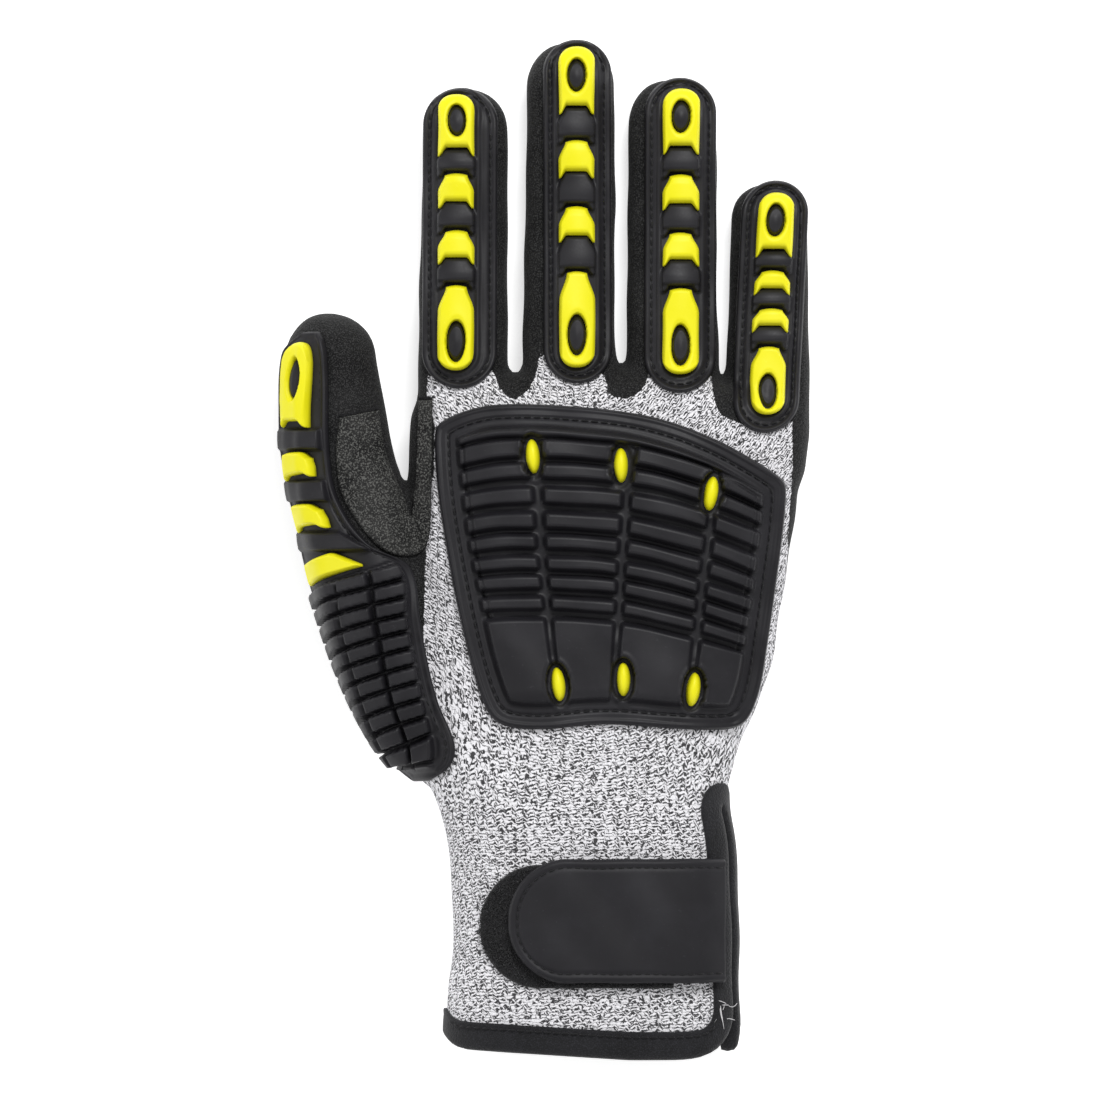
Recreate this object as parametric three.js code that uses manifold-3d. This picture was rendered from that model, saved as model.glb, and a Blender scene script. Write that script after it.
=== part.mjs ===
// Impact glove for the right hand, lying palm down with the back of the hand up.
// Millimetres. +X to the little finger, +Y to the fingertips, +Z up from the floor.

import * as THREE from "three";
import { mergeVertices } from "three/addons/utils/BufferGeometryUtils.js";
import Module from "manifold-3d";

const wasm = await Module();
wasm.setup();

// Driving sizes

const LENGTH = 265.7; // hem to the tip of the middle finger
const WIDTH = 140; // thumb guard to little finger
const DEPTH = 35; // cuff, from the floor to its top
const WALL = 1.8; // knit with its lining or coating
const GAP = 0.35; // clearance between any two pieces
const SINK = 0.8; // how far the soft form is pressed flat on the floor
const FLANGE = 1.8; // thickness of the sewn rubber edge
const SEAT = 2.3; // height of the guard under a coloured insert
const SADDLE = 4.6; // height of the black humps between the inserts
const CROWN = 5.2; // height of the coloured inserts
const TAPE = 0.9; // one layer of the binding tape
const TAPE_RISE = 0.7; // clearance of the tape on the round cuff
const TAPE_WIDTH = 6.6; // how far the tape reaches in from the edge
const SLIT_WIDTH = 4.2; // opening in the cloth at the side of the cuff
const SLIT_LENGTH = 0.258 * LENGTH; // from the hem to its top
const STRAP_THICK = 1.8;
const LOOP_THICK = 1.1; // pile of the closure patch

// The tables in mm were measured on a glove of this size and are brought to the sizes above

const MEASURED = { length: 265.7, width: 140, depth: 35 };
const alongLength = (y) => (y * LENGTH) / MEASURED.length;
const acrossWidth = (x) => (x * WIDTH) / MEASURED.width;
const upDepth = (z) => (z * DEPTH) / MEASURED.depth;
const toPlan = ([x, y]) => [acrossWidth(x), alongLength(y)];

/** Rows of a table with the named columns brought to size. */
function fitted(rows, columns) {
  return rows.map((row) => {
    const fit = { ...row };
    for (const [key, toSize] of Object.entries(columns)) {
      fit[key] = toSize(row[key]);
    }
    return fit;
  });
}

const CLEAR = 0.25; // least clearance cut under a piece that lies on the form
const DRAPE = 0.55; // height of its underside where the form is round
const PLATE_DRAPE = 0.9;

const SMOOTH = { cloth: 0.24, rubber: 0.1 }; // faces this close to flat are joined

const FINGER_SEGMENTS = { outer: 10, inner: 8 };
const THUMB_SEGMENTS = { outer: 12, inner: 8 };
const PALM_SEGMENTS = { outer: 20, inner: 12 };

// Colours

const FINISH = {
  knit: { color: 0xd9d7d8, roughness: 0.95 },
  coating: { color: 0x1d1d1e, roughness: 0.9 },
  patch: { color: 0x161617, roughness: 0.95 },
  guard: { color: 0x2b2a2d, roughness: 0.55 },
  insert: { color: 0xeff016, roughness: 0.5 },
  tape: { color: 0x161618, roughness: 0.9 },
  strap: { color: 0x232226, roughness: 0.6 },
  pile: { color: 0x0f0f10, roughness: 1.0 },
};

// Palm and cuff from hem to knuckles: at is a share of LENGTH, left and right of WIDTH,
// thick of DEPTH, and lift is in mm, where the tape under the hem holds the cloth off the floor

const PALM_ROWS = [
  { at: -0.020, left: -0.182, right: 0.340, thick: 0.92, lift: 2.1 },
  { at: 0.022, left: -0.182, right: 0.357, thick: 0.94, lift: 2.1 },
  { at: 0.075, left: -0.173, right: 0.358, thick: 0.98, lift: 1.2 },
  { at: 0.134, left: -0.163, right: 0.360, thick: 1.0, lift: 0.3 },
  { at: 0.178, left: -0.169, right: 0.357, thick: 1.0, lift: 0 },
  { at: 0.222, left: -0.178, right: 0.349, thick: 0.98, lift: 0 },
  { at: 0.256, left: -0.197, right: 0.340, thick: 0.95, lift: 0 },
  { at: 0.291, left: -0.228, right: 0.354, thick: 0.92, lift: 0 },
  { at: 0.335, left: -0.247, right: 0.386, thick: 0.90, lift: 0 },
  { at: 0.384, left: -0.255, right: 0.422, thick: 0.88, lift: 0 },
  { at: 0.442, left: -0.255, right: 0.444, thick: 0.87, lift: 0 },
  { at: 0.501, left: -0.252, right: 0.460, thick: 0.86, lift: 0 },
  { at: 0.560, left: -0.248, right: 0.474, thick: 0.84, lift: 0 },
  { at: 0.609, left: -0.245, right: 0.484, thick: 0.80, lift: 0 },
  { at: 0.638, left: -0.243, right: 0.489, thick: 0.73, lift: 0 },
  { at: 0.656, left: -0.238, right: 0.489, thick: 0.62, lift: 0 },
  { at: 0.668, left: -0.228, right: 0.480, thick: 0.46, lift: 0 },
  { at: 0.674, left: -0.210, right: 0.462, thick: 0.26, lift: 0 },
];

// The web line falls back toward the little finger

const WEB_FALL = 5.5; // at the little finger
const WEB_FALL_FROM = 0.26; // share of WIDTH where the fall starts
const WEB_FALL_ROWS = { start: 0.56, end: 0.66 };

// Fingers in mm: x at root and tip, y of the tip, widths, and heights over the floor

const FINGER_ROOT = 0.585 * LENGTH;
const ROOT_NECK = 0.72; // share of the width where a finger starts inside the palm
const ROOT_REACH = 0.2; // share of the finger over which it widens
const FINGERS = fitted([
  { name: "index", rootX: -20.8, tipX: -19.8, tip: 253.0, rootWidth: 24.0, tipWidth: 21.6, rootHigh: 22.5, tipHigh: 16.5 },
  { name: "middle", rootX: 6.8, tipX: 7.6, tip: 265.0, rootWidth: 24.6, tipWidth: 22.4, rootHigh: 23.5, tipHigh: 17.0 },
  { name: "ring", rootX: 33.8, tipX: 33.9, tip: 255.3, rootWidth: 24.2, tipWidth: 22.4, rootHigh: 22.5, tipHigh: 16.5 },
  { name: "little", rootX: 58.6, tipX: 59.2, tip: 228.4, rootWidth: 22.4, tipWidth: 19.4, rootHigh: 20.5, tipHigh: 15.5 },
], {
  rootX: acrossWidth, tipX: acrossWidth, tip: alongLength, rootWidth: acrossWidth,
  tipWidth: acrossWidth, rootHigh: upDepth, tipHigh: upDepth,
});

// Thumb from its base in the palm to its tip: x and widths are shares of WIDTH, thick of DEPTH

const THUMB_ROWS = [
  { at: 0.268, centre: -0.180, wide: 0.06, thick: 0.42, roll: 10 },
  { at: 0.292, centre: -0.200, wide: 0.110, thick: 0.62, roll: 12 },
  { at: 0.325, centre: -0.228, wide: 0.160, thick: 0.74, roll: 15 },
  { at: 0.384, centre: -0.262, wide: 0.200, thick: 0.78, roll: 20 },
  { at: 0.442, centre: -0.296, wide: 0.215, thick: 0.78, roll: 25 },
  { at: 0.501, centre: -0.328, wide: 0.212, thick: 0.75, roll: 30 },
  { at: 0.560, centre: -0.354, wide: 0.205, thick: 0.70, roll: 34 },
  { at: 0.618, centre: -0.380, wide: 0.196, thick: 0.66, roll: 36 },
  { at: 0.677, centre: -0.391, wide: 0.176, thick: 0.60, roll: 36 },
  { at: 0.733, centre: -0.393, wide: 0.160, thick: 0.56, roll: 36 },
];
const THUMB_TIP = 0.7325 * LENGTH;

// Guard on each finger in mm: y of both ends, x of the axis there, half width of the flange,
// and the y where each coloured insert ends and starts, from the tip down

const FINGER_GUARDS = fitted([
  {
    name: "index", top: 253.2, bottom: 175.0, topX: -21.1, bottomX: -21.4, half: 9.5,
    inserts: [[251.2, 235.3], [230.9, 221.8], [216.1, 207.2], [201.8, 179.7]],
  },
  {
    name: "middle", top: 265.7, bottom: 176.3, topX: 9.0, bottomX: 9.2, half: 8.9,
    inserts: [[263.6, 246.2], [239.5, 229.6], [222.3, 212.9], [205.4, 180.4]],
  },
  {
    name: "ring", top: 255.8, bottom: 173.9, topX: 35.9, bottomX: 35.7, half: 9.1,
    inserts: [[252.7, 235.8], [230.6, 221.3], [215.5, 206.7], [201.0, 178.6]],
  },
  {
    name: "little", top: 229.1, bottom: 163.5, topX: 60.8, bottomX: 57.7, half: 8.6,
    inserts: [[225.7, 209.0], [205.7, 199.2], [195.8, 189.5], [185.9, 168.2]],
  },
], {
  top: alongLength, bottom: alongLength, topX: acrossWidth, bottomX: acrossWidth, half: acrossWidth,
  inserts: (pairs) => pairs.map((pair) => pair.map(alongLength)),
});
const INSERT_NAMES = ["tip", "outer", "inner", "knuckle"];
const BEAD = 0.5; // half width of the raised middle, as a share of the flange half width
const BEAD_FOOT = 0.62;
const TIP_MARGIN = 1.4; // the guard lies flat past this much of the fingertip
const SIDE_LIMIT = 0.86; // and past this share of the finger's half width

// Thumb guard: y at each row, centre of the fan of directions, and the angles it reaches,
// from straight up, with the outer side of the thumb positive

const THUMB_FAN_HIGH = upDepth(12);
const THUMB_FAN_ROWS = fitted([
  { at: 189.6, x: -53.0, inner: 34, outer: 58 },
  { at: 187.5, x: -53.4, inner: 20, outer: 72 },
  { at: 183.0, x: -54.0, inner: 10, outer: 80 },
  { at: 156.8, x: -53.2, inner: 8, outer: 80 },
  { at: 146.6, x: -52.0, inner: 4, outer: 80 },
  { at: 134.0, x: -48.0, inner: -14, outer: 82 },
  { at: 129.0, x: -45.5, inner: -40, outer: 84 },
  { at: 115.2, x: -42.0, inner: -36, outer: 86 },
  { at: 94.4, x: -37.0, inner: -34, outer: 86 },
  { at: 82.0, x: -32.5, inner: -32, outer: 84 },
  { at: 76.0, x: -30.5, inner: -22, outer: 76 },
  { at: 73.4, x: -29.8, inner: -6, outer: 50 },
], { at: alongLength, x: acrossWidth });
const THUMB_GUARD_TOP = THUMB_FAN_ROWS[0].at;
const THUMB_GUARD_END = THUMB_FAN_ROWS[THUMB_FAN_ROWS.length - 1].at;
const THUMB_INSERTS = fitted([
  { name: "tip", from: 186.7, to: 164.8, inner: 18, outer: 62 },
  { name: "outer", from: 158.6, to: 151.6, inner: 18, outer: 66 },
  { name: "inner", from: 145.3, to: 138.3, inner: 14, outer: 66 },
  { name: "base", from: 132.4, to: 124.4, inner: -10, outer: 72 },
], { from: alongLength, to: alongLength });
const THUMB_RIBS = { count: 11, from: alongLength(122.6), to: alongLength(77.0), high: 4.6, rise: alongLength(7.0) };
const THUMB_EASE = 1.2; // depth of the guard's first row
const THUMB_SETTLE = { end: 14, top: 12.8 }; // over which the ribs come level
const THUMB_COLUMNS = [0, 0.2, 0.26, 0.5, 0.76, 0.86, 1];

// Plate on the back of the hand, in mm: outline points of its four edges

const PLATE_TOP = [[-28.0, 166.0], [-11.0, 170.8], [22.0, 168.8], [44.0, 162.2], [63.6, 151.2]].map(toPlan);
const PLATE_BOTTOM = [[-14.0, 86.2], [1.0, 86.6], [16.0, 87.9], [34.0, 86.8], [53.0, 85.2]].map(toPlan);
const PLATE_LEFT = [[-28.0, 166.0], [-26.8, 148.0], [-21.6, 118.0], [-17.2, 98.0], [-14.0, 86.2]].map(toPlan);
const PLATE_RIGHT = [[63.6, 151.2], [62.4, 138.0], [59.4, 116.0], [56.6, 98.0], [53.0, 85.2]].map(toPlan);
const PLATE_LIMIT = 0.9; // share of the palm's half width that it follows
const PLATE_RIM = 3.8;
const PLATE_FLOOR = 2.4;
const PLATE_RIB = 4.8;
const PLATE_PAD = 4.3;
const PLATE_GROOVE = 2.8;
const PLATE_RIBS = [0.172, 0.240, 0.311, 0.378, 0.434, 0.492, 0.547, 0.607]; // down the plate
const PLATE_RIB_HALF = 0.021;
const PLATE_GAPS = [0.286, 0.538, 0.788]; // across the plate
const PLATE_GAP_HALF = 0.012;
const OVAL = { long: 4.4, short: 1.7, recess: 1.0 }; // radii, and the margin of the recess
const OVALS = fitted([
  { x: -2.3, y: 157.3, lean: 10 },
  { x: 20.5, y: 155.0, lean: 0 },
  { x: 43.7, y: 147.7, lean: -12 },
  { x: 4.2, y: 98.3, lean: 10 },
  { x: 21.1, y: 99.6, lean: 0 },
  { x: 39.0, y: 97.0, lean: -12 },
], { x: acrossWidth, y: alongLength });

// Cuff closure, in mm

const BAND = { left: acrossWidth, right: acrossWidth, low: alongLength, high: alongLength, corner: alongLength };
const [STRAP, LOOP] = fitted([
  { left: -8.1, right: 48.0, low: 21.0, high: 51.2, lift: 2.6, corner: 15 },
  { left: -15.6, right: 34.0, low: 18.0, high: 51.0, lift: GAP, corner: 15 },
], BAND);
const HEM = { low: 0.6, slope: 0.094, turn: acrossWidth(23.0), corner: 9 }; // the hem rises to the thumb side
const SLIT_ANGLE = 31; // middle of the slit, up from the side of the cuff

// Where the coating ends on the sides, z over the floor along LENGTH

const DIP_ROWS = [
  [0.27, -3], [0.33, 5], [0.41, 12], [0.48, 16.5], [0.60, 17.5], [0.64, 14.5], [0.66, 12.2], [1.02, 12.2],
].map(([at, z]) => [at * LENGTH, upDepth(z)]);
const DIP_THUMB = [
  [-59.0, 205.0], [-57.0, 156.8], [-54.4, 146.6], [-44.2, 132.6], [-37.0, 129.0],
  [-30.5, 135.8], [-28.4, 154.0], [-27.2, 175.8], [-35.6, 175.8], [-35.6, 205.0],
].map(toPlan);

const PATCH_EDGE = [
  [-41.5, 169.6], [-39.6, 160.0], [-37.6, 152.0], [-34.6, 146.6], [-31.8, 148.0], [-31.6, 158.0], [-31.8, 172.0],
].map(toPlan);
const PATCH_INSIDE = [
  [-51.5, 168.6], [-51.5, 158.0], [-50.0, 146.0], [-40.0, 132.4], [-29.8, 136.0], [-28.8, 150.0], [-28.8, 172.0],
].map(toPlan);
const PATCH_THICK = 1.2;

// Where the cloth is divided: past the webs between these x on each finger, and at the thumb

const FINGER_SPLIT = alongLength(182.3);
const FINGER_STRIPS = {
  index: [-37.0, -7.2].map(acrossWidth),
  middle: [-7.2, 20.5].map(acrossWidth),
  ring: [20.5, 47.3].map(acrossWidth),
  little: [47.3, 80.0].map(acrossWidth),
};
const THUMB_SPLIT = [[-90, 104], [-60, 112], [-36.2, 141], [-36.2, 215], [-90, 215]].map(toPlan);

// Reading tables

/** Value of one column at a station, on a smooth curve through the rows. */
function readColumn(rows, key, at) {
  const last = rows.length - 1;
  if (at <= rows[0].at) {
    return rows[0][key];
  }
  if (at >= rows[last].at) {
    return rows[last][key];
  }
  let i = 0;
  while (rows[i + 1].at < at) {
    i += 1;
  }
  const slope = (k) => {
    const before = rows[Math.max(k - 1, 0)];
    const after = rows[Math.min(k + 1, last)];
    return (after[key] - before[key]) / (after.at - before.at);
  };
  const span = rows[i + 1].at - rows[i].at;
  const t = (at - rows[i].at) / span;
  const rise = t * t * (3 - 2 * t);
  const start = t * (1 - t) * (1 - t);
  const end = -t * t * (1 - t);
  return rows[i][key] * (1 - rise) + rows[i + 1][key] * rise + span * (slope(i) * start + slope(i + 1) * end);
}

/** Value at a share along evenly used points of a plan outline. */
function alongEdge(points, share) {
  const curve = new THREE.SplineCurve(points.map(([x, y]) => new THREE.Vector2(x, y)));
  return curve.getPoint(share);
}

function mix(a, b, share) {
  return a + (b - a) * share;
}

// Soft form: each member gives a section at a y, grown or shrunk

/** How far the web line falls back at this x, for a station. */
function webFall(x, at) {
  const side = Math.max(0, x - WEB_FALL_FROM * WIDTH) / ((0.5 - WEB_FALL_FROM) * WIDTH);
  const share = (at / LENGTH - WEB_FALL_ROWS.start) / (WEB_FALL_ROWS.end - WEB_FALL_ROWS.start);
  return WEB_FALL * side * THREE.MathUtils.clamp(share, 0, 1);
}

const palm = {
  segments: PALM_SEGMENTS,
  powers: { top: 2.5, bottom: 3.0 },
  from: PALM_ROWS[0].at * LENGTH,
  to: PALM_ROWS[PALM_ROWS.length - 1].at * LENGTH,
  stations: PALM_ROWS.map((row) => row.at * LENGTH),
  fall: webFall,
  section(at, grow) {
    const row = (key) => readColumn(PALM_ROWS, key, at / LENGTH);
    const thick = row("thick") * DEPTH;
    return {
      x: WIDTH * (row("left") + row("right")) / 2,
      z: thick / 2 - SINK + row("lift"),
      half: WIDTH * (row("right") - row("left")) / 2 + grow,
      high: thick / 2 + grow,
      roll: 0,
    };
  },
};

/** Share of full size near a round tip. */
function tipShare(at, tip, radius) {
  const past = (at - (tip - radius)) / radius;
  if (past <= 0) {
    return 1;
  }
  return Math.sqrt(Math.max(0, 1 - past * past));
}

/** Stations of a digit: even along it, then closer round the tip. */
function digitStations(from, tip, radius, even) {
  const stations = [];
  for (let i = 0; i <= even; i += 1) {
    stations.push(mix(from, tip - radius, i / even));
  }
  for (const angle of [30, 55, 75]) {
    stations.push(tip - radius + radius * Math.sin(THREE.MathUtils.degToRad(angle)));
  }
  return stations;
}

function makeFinger(finger) {
  const radius = finger.tipWidth / 2;
  return {
    segments: FINGER_SEGMENTS,
    powers: { top: 2.9, bottom: 2.8 },
    from: FINGER_ROOT,
    to: finger.tip,
    stations: digitStations(FINGER_ROOT, finger.tip, radius, 4),
    fall: () => 0,
    section(at, grow) {
      const share = (at - FINGER_ROOT) / (finger.tip - FINGER_ROOT);
      const round = tipShare(at, finger.tip + grow, radius + grow);
      const high = mix(finger.rootHigh, finger.tipHigh, Math.min(1, share * 1.6));
      const neck = mix(ROOT_NECK, 1, THREE.MathUtils.smoothstep(share, 0, ROOT_REACH));
      return {
        x: mix(finger.rootX, finger.tipX, share),
        z: (high / 2) * (0.85 + 0.15 * round) - SINK * round,
        half: (neck * mix(finger.rootWidth, finger.tipWidth, share) / 2 + grow) * round,
        high: (high / 2 + grow) * Math.sqrt(round),
        roll: 0,
      };
    },
  };
}

const thumb = {
  segments: THUMB_SEGMENTS,
  powers: { top: 2.2, bottom: 2.2 },
  from: THUMB_ROWS[0].at * LENGTH,
  to: THUMB_TIP,
  stations: digitStations(THUMB_ROWS[0].at * LENGTH, THUMB_TIP, 0.075 * WIDTH, 8),
  fall: () => 0,
  section(at, grow) {
    const row = (key) => readColumn(THUMB_ROWS, key, at / LENGTH);
    const round = tipShare(at, THUMB_TIP + grow, 0.075 * WIDTH + grow);
    const roll = THREE.MathUtils.degToRad(row("roll"));
    const half = (row("wide") * WIDTH) / 2;
    const high = (row("thick") * DEPTH) / 2;
    const stand = Math.hypot(half * Math.sin(roll), high * Math.cos(roll));
    return {
      x: row("centre") * WIDTH,
      z: stand * (0.8 + 0.2 * round) - SINK,
      half: (half + grow) * round,
      high: (high + grow) * round,
      roll,
    };
  },
};

const members = [palm, thumb, ...FINGERS.map(makeFinger)];

/** Point of a member's section at an angle, anticlockwise from +X. */
function sectionPoint(member, at, angle, grow) {
  const section = member.section(at, grow);
  const c = Math.cos(angle);
  const s = Math.sin(angle);
  const power = 2 / (s > 0 ? member.powers.top : member.powers.bottom);
  const u = section.half * Math.sign(c) * Math.abs(c) ** power;
  const v = section.high * Math.sign(s) * Math.abs(s) ** power;
  const x = section.x + u * Math.cos(section.roll) - v * Math.sin(section.roll);
  const z = section.z + u * Math.sin(section.roll) + v * Math.cos(section.roll);
  return new THREE.Vector3(x, at - member.fall(x, at), z);
}

/** Below zero inside a member, above zero outside it. */
function memberLevel(member, point) {
  let at = point.y;
  for (let i = 0; i < 5; i += 1) {
    at = point.y + member.fall(point.x, at);
  }
  if (at < member.from || at > member.to) {
    return 1;
  }
  const section = member.section(at, 0);
  if (section.half < 0.05 || section.high < 0.05) {
    return 1;
  }
  const dx = point.x - section.x;
  const dz = point.z - section.z;
  const u = dx * Math.cos(section.roll) + dz * Math.sin(section.roll);
  const v = dz * Math.cos(section.roll) - dx * Math.sin(section.roll);
  const power = v > 0 ? member.powers.top : member.powers.bottom;
  return Math.abs(u / section.half) ** power + Math.abs(v / section.high) ** power - 1;
}

function formLevel(point) {
  return Math.min(...members.map((member) => memberLevel(member, point)));
}

/** Where a line from inside the form leaves it, with the direction to lift pieces along. */
function skinAt(origin, direction) {
  let inside = 0;
  let outside = 1;
  const probe = (t) => formLevel(origin.clone().addScaledVector(direction, t));
  while (probe(outside) < 0 && outside < 80) {
    inside = outside;
    outside += 1;
  }
  for (let i = 0; i < 20; i += 1) {
    const middle = (inside + outside) / 2;
    if (probe(middle) < 0) {
      inside = middle;
    } else {
      outside = middle;
    }
  }
  const point = origin.clone().addScaledVector(direction, inside);
  const step = 0.4;
  const slope = new THREE.Vector3();
  for (const axis of ["x", "y", "z"]) {
    const ahead = point.clone();
    const behind = point.clone();
    ahead[axis] += step;
    behind[axis] -= step;
    slope[axis] = THREE.MathUtils.clamp(formLevel(ahead) - formLevel(behind), -0.5, 0.5);
  }
  if (slope.lengthSq() < 1e-9) {
    slope.copy(direction);
  }
  slope.normalize().add(direction).normalize();
  return { point, lift: slope };
}

const UP = new THREE.Vector3(0, 0, 1);
const PROBE_HIGH = 7; // height inside the form where plan lines start

function skinOver(x, y) {
  return skinAt(new THREE.Vector3(x, y, PROBE_HIGH), UP);
}

// Solids

/** Closed solid from a merged geometry. */
function solid(geometry) {
  const plain = geometry.clone();
  plain.deleteAttribute("normal");
  plain.deleteAttribute("uv");
  const merged = mergeVertices(plain, 1e-4);
  const mesh = new wasm.Mesh({
    numProp: 3,
    vertProperties: new Float32Array(merged.attributes.position.array),
    triVerts: new Uint32Array(merged.index.array),
  });
  return new wasm.Manifold(mesh);
}

function geometryFrom(points, faces) {
  let volume = 0;
  for (const [a, b, c] of faces) {
    volume += points[a].dot(points[b].clone().cross(points[c]));
  }
  const index = volume < 0 ? faces.map(([a, b, c]) => [a, c, b]) : faces;
  const geometry = new THREE.BufferGeometry();
  geometry.setAttribute("position", new THREE.Float32BufferAttribute(points.flatMap((p) => p.toArray()), 3));
  geometry.setIndex(index.flat());
  return geometry;
}

/** Solid through closed rings of equal length, capped at both ends or joined into a loop. */
function ringSolid(rings, loop = false) {
  const count = rings[0].length;
  const points = rings.flat();
  const faces = [];
  const bands = loop ? rings.length : rings.length - 1;
  for (let i = 0; i < bands; i += 1) {
    const near = i * count;
    const far = ((i + 1) % rings.length) * count;
    for (let j = 0; j < count; j += 1) {
      const k = (j + 1) % count;
      faces.push([near + j, near + k, far + k], [near + j, far + k, far + j]);
    }
  }
  if (!loop) {
    const last = (rings.length - 1) * count;
    for (let j = 1; j < count - 1; j += 1) {
      faces.push([0, j + 1, j], [last, last + j, last + j + 1]);
    }
  }
  return solid(geometryFrom(points, faces));
}

/** Loft of a member of the soft form. */
function memberSolid(member, grow, runOut) {
  const end = member === palm ? member.to + grow : null;
  const stations = member.stations.map((at) => {
    if (member !== palm) {
      const tip = member.to;
      return at > tip - 14 ? at + grow : at;
    }
    return Math.min(at, end);
  });
  const kept = stations.filter((at, i) => i === 0 || at > stations[i - 1] + 0.2);
  kept[0] -= runOut;
  const segments = grow < 0 ? member.segments.inner : member.segments.outer;
  const rings = kept.map((at) => {
    const ring = [];
    for (let j = 0; j < segments; j += 1) {
      ring.push(sectionPoint(member, at, (2 * Math.PI * j) / segments, grow));
    }
    return ring;
  });
  return ringSolid(rings);
}

/** Slab between two lifts over a grid of skin points, with fewer rows on its underside. */
function drapedSolid(grid, lowLift, highLift, lowEvery = 1) {
  const columns = grid[0].length;
  const last = grid.length - 1;
  const lowRows = grid.map((row, i) => i).filter((i) => i % lowEvery === 0 || i === last);
  const level = (i, lift) => grid[i].map((skin, j) => (
    skin.point.clone().addScaledVector(skin.lift, lift(i, j))
  ));
  const high = grid.map((row, i) => level(i, highLift));
  const low = lowRows.map((i) => level(i, lowLift));
  const points = [...high.flat(), ...low.flat()];
  const top = (i, j) => i * columns + j;
  const under = (k, j) => (grid.length + k) * columns + j;
  const faces = [];
  const quad = (a, b, c, d) => faces.push([a, b, c], [a, c, d]);
  for (let j = 0; j < columns - 1; j += 1) {
    for (let i = 0; i < last; i += 1) {
      quad(top(i, j), top(i, j + 1), top(i + 1, j + 1), top(i + 1, j));
    }
    for (let k = 0; k < lowRows.length - 1; k += 1) {
      quad(under(k, j), under(k + 1, j), under(k + 1, j + 1), under(k, j + 1));
    }
    quad(top(0, j), under(0, j), under(0, j + 1), top(0, j + 1));
    const end = lowRows.length - 1;
    quad(top(last, j), top(last, j + 1), under(end, j + 1), under(end, j));
  }
  for (let k = 0; k < lowRows.length - 1; k += 1) {
    for (const j of [0, columns - 1]) {
      const side = [];
      for (let i = lowRows[k]; i < lowRows[k + 1]; i += 1) {
        side.push([under(k, j), top(i, j), top(i + 1, j)]);
      }
      side.push([under(k, j), top(lowRows[k + 1], j), under(k + 1, j)]);
      faces.push(...(j === 0 ? side : side.map(([p, q, r]) => [p, r, q])));
    }
  }
  return solid(geometryFrom(points, faces));
}

/** Prism over a plan outline between two heights. */
function planBlock(points, low, high) {
  const shape = new THREE.Shape(points.map(([x, y]) => new THREE.Vector2(x, y)));
  const geometry = new THREE.ExtrudeGeometry(shape, { depth: high - low, bevelEnabled: false });
  geometry.translate(0, 0, low);
  return solid(geometry);
}

/** Prism over an outline of y and z that runs across the whole glove. */
function sideBlock(points) {
  const shape = new THREE.Shape(points.map(([y, z]) => new THREE.Vector2(y, z)));
  const geometry = new THREE.ExtrudeGeometry(shape, { depth: 2 * WIDTH, bevelEnabled: false });
  const toGlove = new THREE.Matrix4().makeBasis(
    new THREE.Vector3(0, 1, 0),
    new THREE.Vector3(0, 0, 1),
    new THREE.Vector3(1, 0, 0),
  );
  geometry.applyMatrix4(toGlove);
  geometry.translate(-WIDTH, 0, 0);
  return solid(geometry);
}

/** Outline moved outward by a distance. */
function growOutline(points, distance) {
  const area = THREE.ShapeUtils.area(points.map(([x, y]) => new THREE.Vector2(x, y)));
  const sign = area > 0 ? 1 : -1;
  return points.map(([x, y], i) => {
    const [ax, ay] = points[(i + points.length - 1) % points.length];
    const [bx, by] = points[(i + 1) % points.length];
    const before = new THREE.Vector2(x - ax, y - ay).normalize();
    const after = new THREE.Vector2(bx - x, by - y).normalize();
    const out = new THREE.Vector2(before.y + after.y, -before.x - after.x).multiplyScalar(sign).normalize();
    return [x + out.x * distance, y + out.y * distance];
  });
}

/** Oval plug: round in plan, standing along a direction from a foot point. */
function ovalPlug(foot, direction, across, along, high, taper, lean) {
  const geometry = new THREE.CylinderGeometry(taper, 1, high, 10);
  geometry.translate(0, high / 2, 0);
  geometry.scale(across, 1, along);
  geometry.rotateY(THREE.MathUtils.degToRad(-lean));
  geometry.rotateX(Math.PI / 2);
  geometry.applyQuaternion(new THREE.Quaternion().setFromUnitVectors(UP, direction));
  geometry.translate(foot.x, foot.y, foot.z);
  return solid(geometry);
}

// Meshes

function materialOf(finish) {
  return new THREE.MeshStandardMaterial({ ...finish, metalness: 0 });
}

const glove = new THREE.Group();
glove.name = "impact_glove";

function addPiece(name, body, finish, smooth = SMOOTH.rubber) {
  const mesh = body.simplify(smooth).getMesh();
  const geometry = new THREE.BufferGeometry();
  geometry.setAttribute("position", new THREE.BufferAttribute(new Float32Array(mesh.vertProperties), 3));
  geometry.setIndex(new THREE.BufferAttribute(new Uint32Array(mesh.triVerts), 1));
  geometry.computeVertexNormals();
  const piece = new THREE.Mesh(geometry, materialOf(finish));
  piece.name = name;
  glove.add(piece);
}

// Knit and coating

function unionOf(bodies) {
  return bodies.reduce((sum, body) => sum.add(body));
}

function floorCut(top) {
  const geometry = new THREE.BoxGeometry(3 * WIDTH, 2 * LENGTH, 60);
  geometry.translate(0, LENGTH / 2, top - 30);
  return solid(geometry);
}

function handWall() {
  const outer = unionOf(members.map((member) => memberSolid(member, 0, 0))).subtract(floorCut(0));
  const inner = unionOf(members.map((member) => memberSolid(member, -WALL, member === palm ? 4 : -WALL)));
  return outer.subtract(inner.subtract(floorCut(WALL)));
}

function coatedRegion(grow) {
  const rows = DIP_ROWS.map(([y, z]) => [y, z + grow]);
  rows[0][0] -= 2 * grow;
  const first = rows[0][0];
  const last = rows[rows.length - 1][0];
  const side = sideBlock([[first, -20], [last, -20], ...rows.reverse()]);
  return side.add(planBlock(growOutline(DIP_THUMB, grow), -10, 60));
}

/** Height of the hem line along x. */
function hemAt(x) {
  return HEM.low + HEM.slope * Math.max(0, HEM.turn - x);
}

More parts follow.
